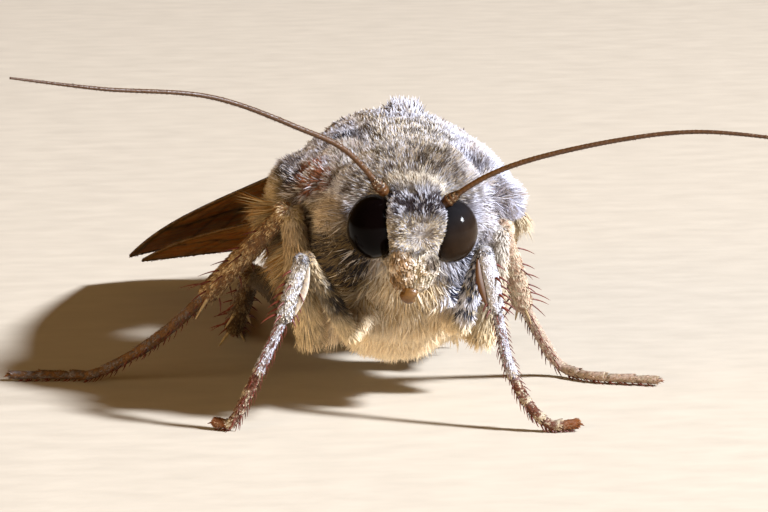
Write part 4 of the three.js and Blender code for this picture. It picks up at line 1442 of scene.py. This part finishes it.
def paint_wing(name, u, v, p, above):
    """Owlet markings above the forewing: wavy cross lines, a round and a kidney spot, dots at the rim."""
    pick = RNG.random(len(u))
    lump = clouds(p, 0.7, 61)
    if not above:
        return paint_beneath(name, u, v, pick, lump)
    if name.startswith("hind"):
        return mix(STRAW * 0.8, WOOD, smooth(0.3, 0.8, lump + 0.5 * smooth(0.6, 1.0, u)))
    tips = mix(ASH * 0.75, UMBER * 1.2, smooth(0.3, 0.7, lump + 0.25 * (pick - 0.5)))
    tips = mix(tips, FROST * 0.8, (pick > 0.86) * 0.6)
    wave = 0.018 * np.sin(26 * v) + 0.03 * np.sin(5 * v)
    for at, wide, tone, strength in CROSS_LINES:
        tips = mix(tips, tone, np.exp(-((u - at - wave) / wide) ** 2) * strength)
    for at, half, tone in (ROUND_SPOT, KIDNEY_SPOT):
        d = np.hypot((u - at[0]) / half[0], (v - at[1]) / half[1])
        tips = mix(tips, tone, (1 - smooth(0.7, 1.0, d)) * 0.75)
        tips = mix(tips, INDIGO, np.exp(-((d - 1.05) / 0.14) ** 2) * 0.8)
    bar = (1 - smooth(0.0, 0.25, np.abs(v - 0.27) / 0.1)) * (np.abs(u - 0.49) < 0.03)
    tips = mix(tips, INDIGO, bar * 0.7)
    return mix(tips, SOOT, np.exp(-((u - 0.955) / 0.012) ** 2) * (np.sin(v * 52) > 0.4) * 0.8)


def build_membrane(name):
    """Two sheets with raised veins, closed round the edge."""
    nu, nv = (110, 48) if name.startswith("fore") else (80, 24)
    u, v = (x.ravel() for x in np.meshgrid(np.linspace(0, 1, nu), np.linspace(0, 1, nv), indexing="ij"))
    rib = vein(u, v)
    top = wing_point(name, u, v, 0.035 + 0.03 * rib)
    low = wing_point(name, u, v, -0.035 - 0.03 * rib)
    i = np.arange(nu - 1)[:, None] * nv
    j = np.arange(nv - 1)
    quads = np.stack([i + j, i + nv + j, i + nv + j + 1, i + j + 1], axis=-1).reshape(-1, 4)
    n = nu * nv
    rim = [np.arange(nv), np.arange(nv) + (nu - 1) * nv, np.arange(nu) * nv, np.arange(nu) * nv + nv - 1]
    edge = [columns(e[:-1], e[1:], e[1:] + n, e[:-1] + n) for e in rim]
    tint = np.vstack([paint_wing(name, u, v, top, True) * 0.8, paint_wing(name, u, v, low, False)])
    tint[np.tile(rib, 2) > 0.5] *= 0.75
    ob = new_piece(f"{name}_membrane", np.vstack([top, low]), [np.vstack([quads, quads[:, ::-1] + n, *edge])],
                   tint, MEMBRANE)
    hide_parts(name)


def coat_wing(name):
    """Rows of scales over both sides, like tiles, and a fringe along the rim."""
    fore = name.startswith("fore")
    w = WINGS[name]
    span = np.linalg.norm(np.subtract(w["apex"], w["root"]))
    length, width, gap, between = (0.29, 0.16, 0.17, 0.125) if fore else (0.34, 0.2, 0.22, 0.17)
    count = int(span / gap / (1 if QUICK == 1 else 1.5))
    rows = []
    for above, sign in ((True, 1), (False, -1)):
        for r in range(count):
            share = (r + 0.5) / count * 0.985
            m = max(4, int((w["root_chord"] + (w["chord"] - w["root_chord"]) * share) / between))
            v = np.clip((np.arange(m) + 0.5 * (r % 2) + RNG.normal(0, 0.12, m) + 0.25) / m, 0.003, 0.997)
            u = np.clip(share + RNG.normal(0, 0.0018, m), 0.002, 0.99)
            p = wing_point(name, u, v, 0.04 * sign)
            ahead, n = wing_lie(name, u, v, 0.04 * sign)
            rows.append((p, n * sign, ahead, paint_wing(name, u, v, p, above),
                         columns(u, 0.5 * v + (0.5 if above else 0.0)), np.full(m, length), np.full(m, width),
                         np.tile([7.0, 3.0], (m, 1))))
    m = amount(3200 if fore else 1800)
    v = RNG.random(m)
    u = np.full(m, 0.992)
    p = wing_point(name, u, v, RNG.normal(0, 0.02, m))
    ahead, n = wing_lie(name, u, v, 0.0, step=0.006)
    rows.append((p, n, ahead, mix(WOOD, OCHRE, (RNG.random(m) > 0.4) * 0.8), columns(u, v), np.full(m, 0.2),
                 np.full(m, 0.06), np.tile([1.0, -2.0], (m, 1))))
    p, n, lie, tips, uv, length, width, lift = map(np.concatenate, zip(*rows))
    tips = uneven(tips, 0.86, 0.28)
    blades(f"{name}_scales", p, n, lie, length, width, tips, tips * 0.85, uv, WING_SCALE, lift,
           (0.6, 1.0, 0.6), jitter=5, roll=4, wobble=1.0)


for name in WINGS:
    build_membrane(name)
    coat_wing(name)


# ---------------------------------------------------------------- floor, light and camera

def add_object(name, data):
    ob = bpy.data.objects.new(name, data)
    bpy.context.scene.collection.objects.link(ob)
    return ob


def turn_to(ob, direction):
    ob.rotation_mode = "QUATERNION"
    ob.rotation_quaternion = Vector(direction).to_track_quat("-Z", "Y")


def build_floor():
    me = bpy.data.meshes.new("floor")
    s = 1.6  # half its side, in metres
    me.from_pydata([(-s, -s, 0), (s, -s, 0), (s, s, 0), (-s, s, 0)], [], [(0, 1, 2, 3)])
    me.materials.append(material("Floor", 0.7, spec=0.2, color=srgb(181, 171, 156), bump=0.25, bump_size=2200,
                                 vary=0.05, vary_size=500, stretch=(1, 2.4, 1)))
    add_object("floor", me)


def add_light(name, direction, size, power, color):
    """A round lamp that shines on the animal. Sizes are in metres here."""
    at, far = Vector(row([0, 0, 4])), 0.5
    data = bpy.data.lights.new(name, "AREA")
    data.shape = "DISK"
    data.size = size
    data.energy = power
    data.color = color
    ob = add_object(name, data)
    ob.location = at + Vector(direction).normalized() * far
    turn_to(ob, at - ob.location)
    return ob


def build_light():
    add_light("key", (0.84, -0.52, 0.70), 0.06, 8.8, (0.92, 0.97, 1.06))
    card = add_light("card", (-1.0, -0.85, 0.1), 0.4, 3.2, (1.0, 0.76, 0.46))
    card.visible_glossy = False
    world = bpy.data.worlds.new("Studio")
    bpy.context.scene.world = world
    world.use_nodes = True
    back = world.node_tree.nodes["Background"]
    back.inputs["Color"].default_value = (1.0, 0.52, 0.15, 1)
    back.inputs["Strength"].default_value = 0.145
    bpy.context.scene.view_settings.view_transform = "Standard"


def build_camera():
    """Low in front, a little to the moth's right."""
    azimuth, elevation, far = math.radians(-7), math.radians(11), 150.0
    view_width = 256 / 11  # at the head
    target = np.array([-0.922, -5.650, 5.567])
    back = np.array([math.sin(azimuth) * math.cos(elevation), -math.cos(azimuth) * math.cos(elevation),
                     math.sin(elevation)])
    data = bpy.data.cameras.new("camera")
    data.sensor_width = 36.0
    data.lens = data.sensor_width * far / view_width
    data.clip_start = 0.005
    data.clip_end = 10.0
    ob = add_object("camera", data)
    ob.location = Vector(row(target + back * far))
    turn_to(ob, -back)
    bpy.context.scene.camera = ob


build_floor()
build_light()
build_camera()
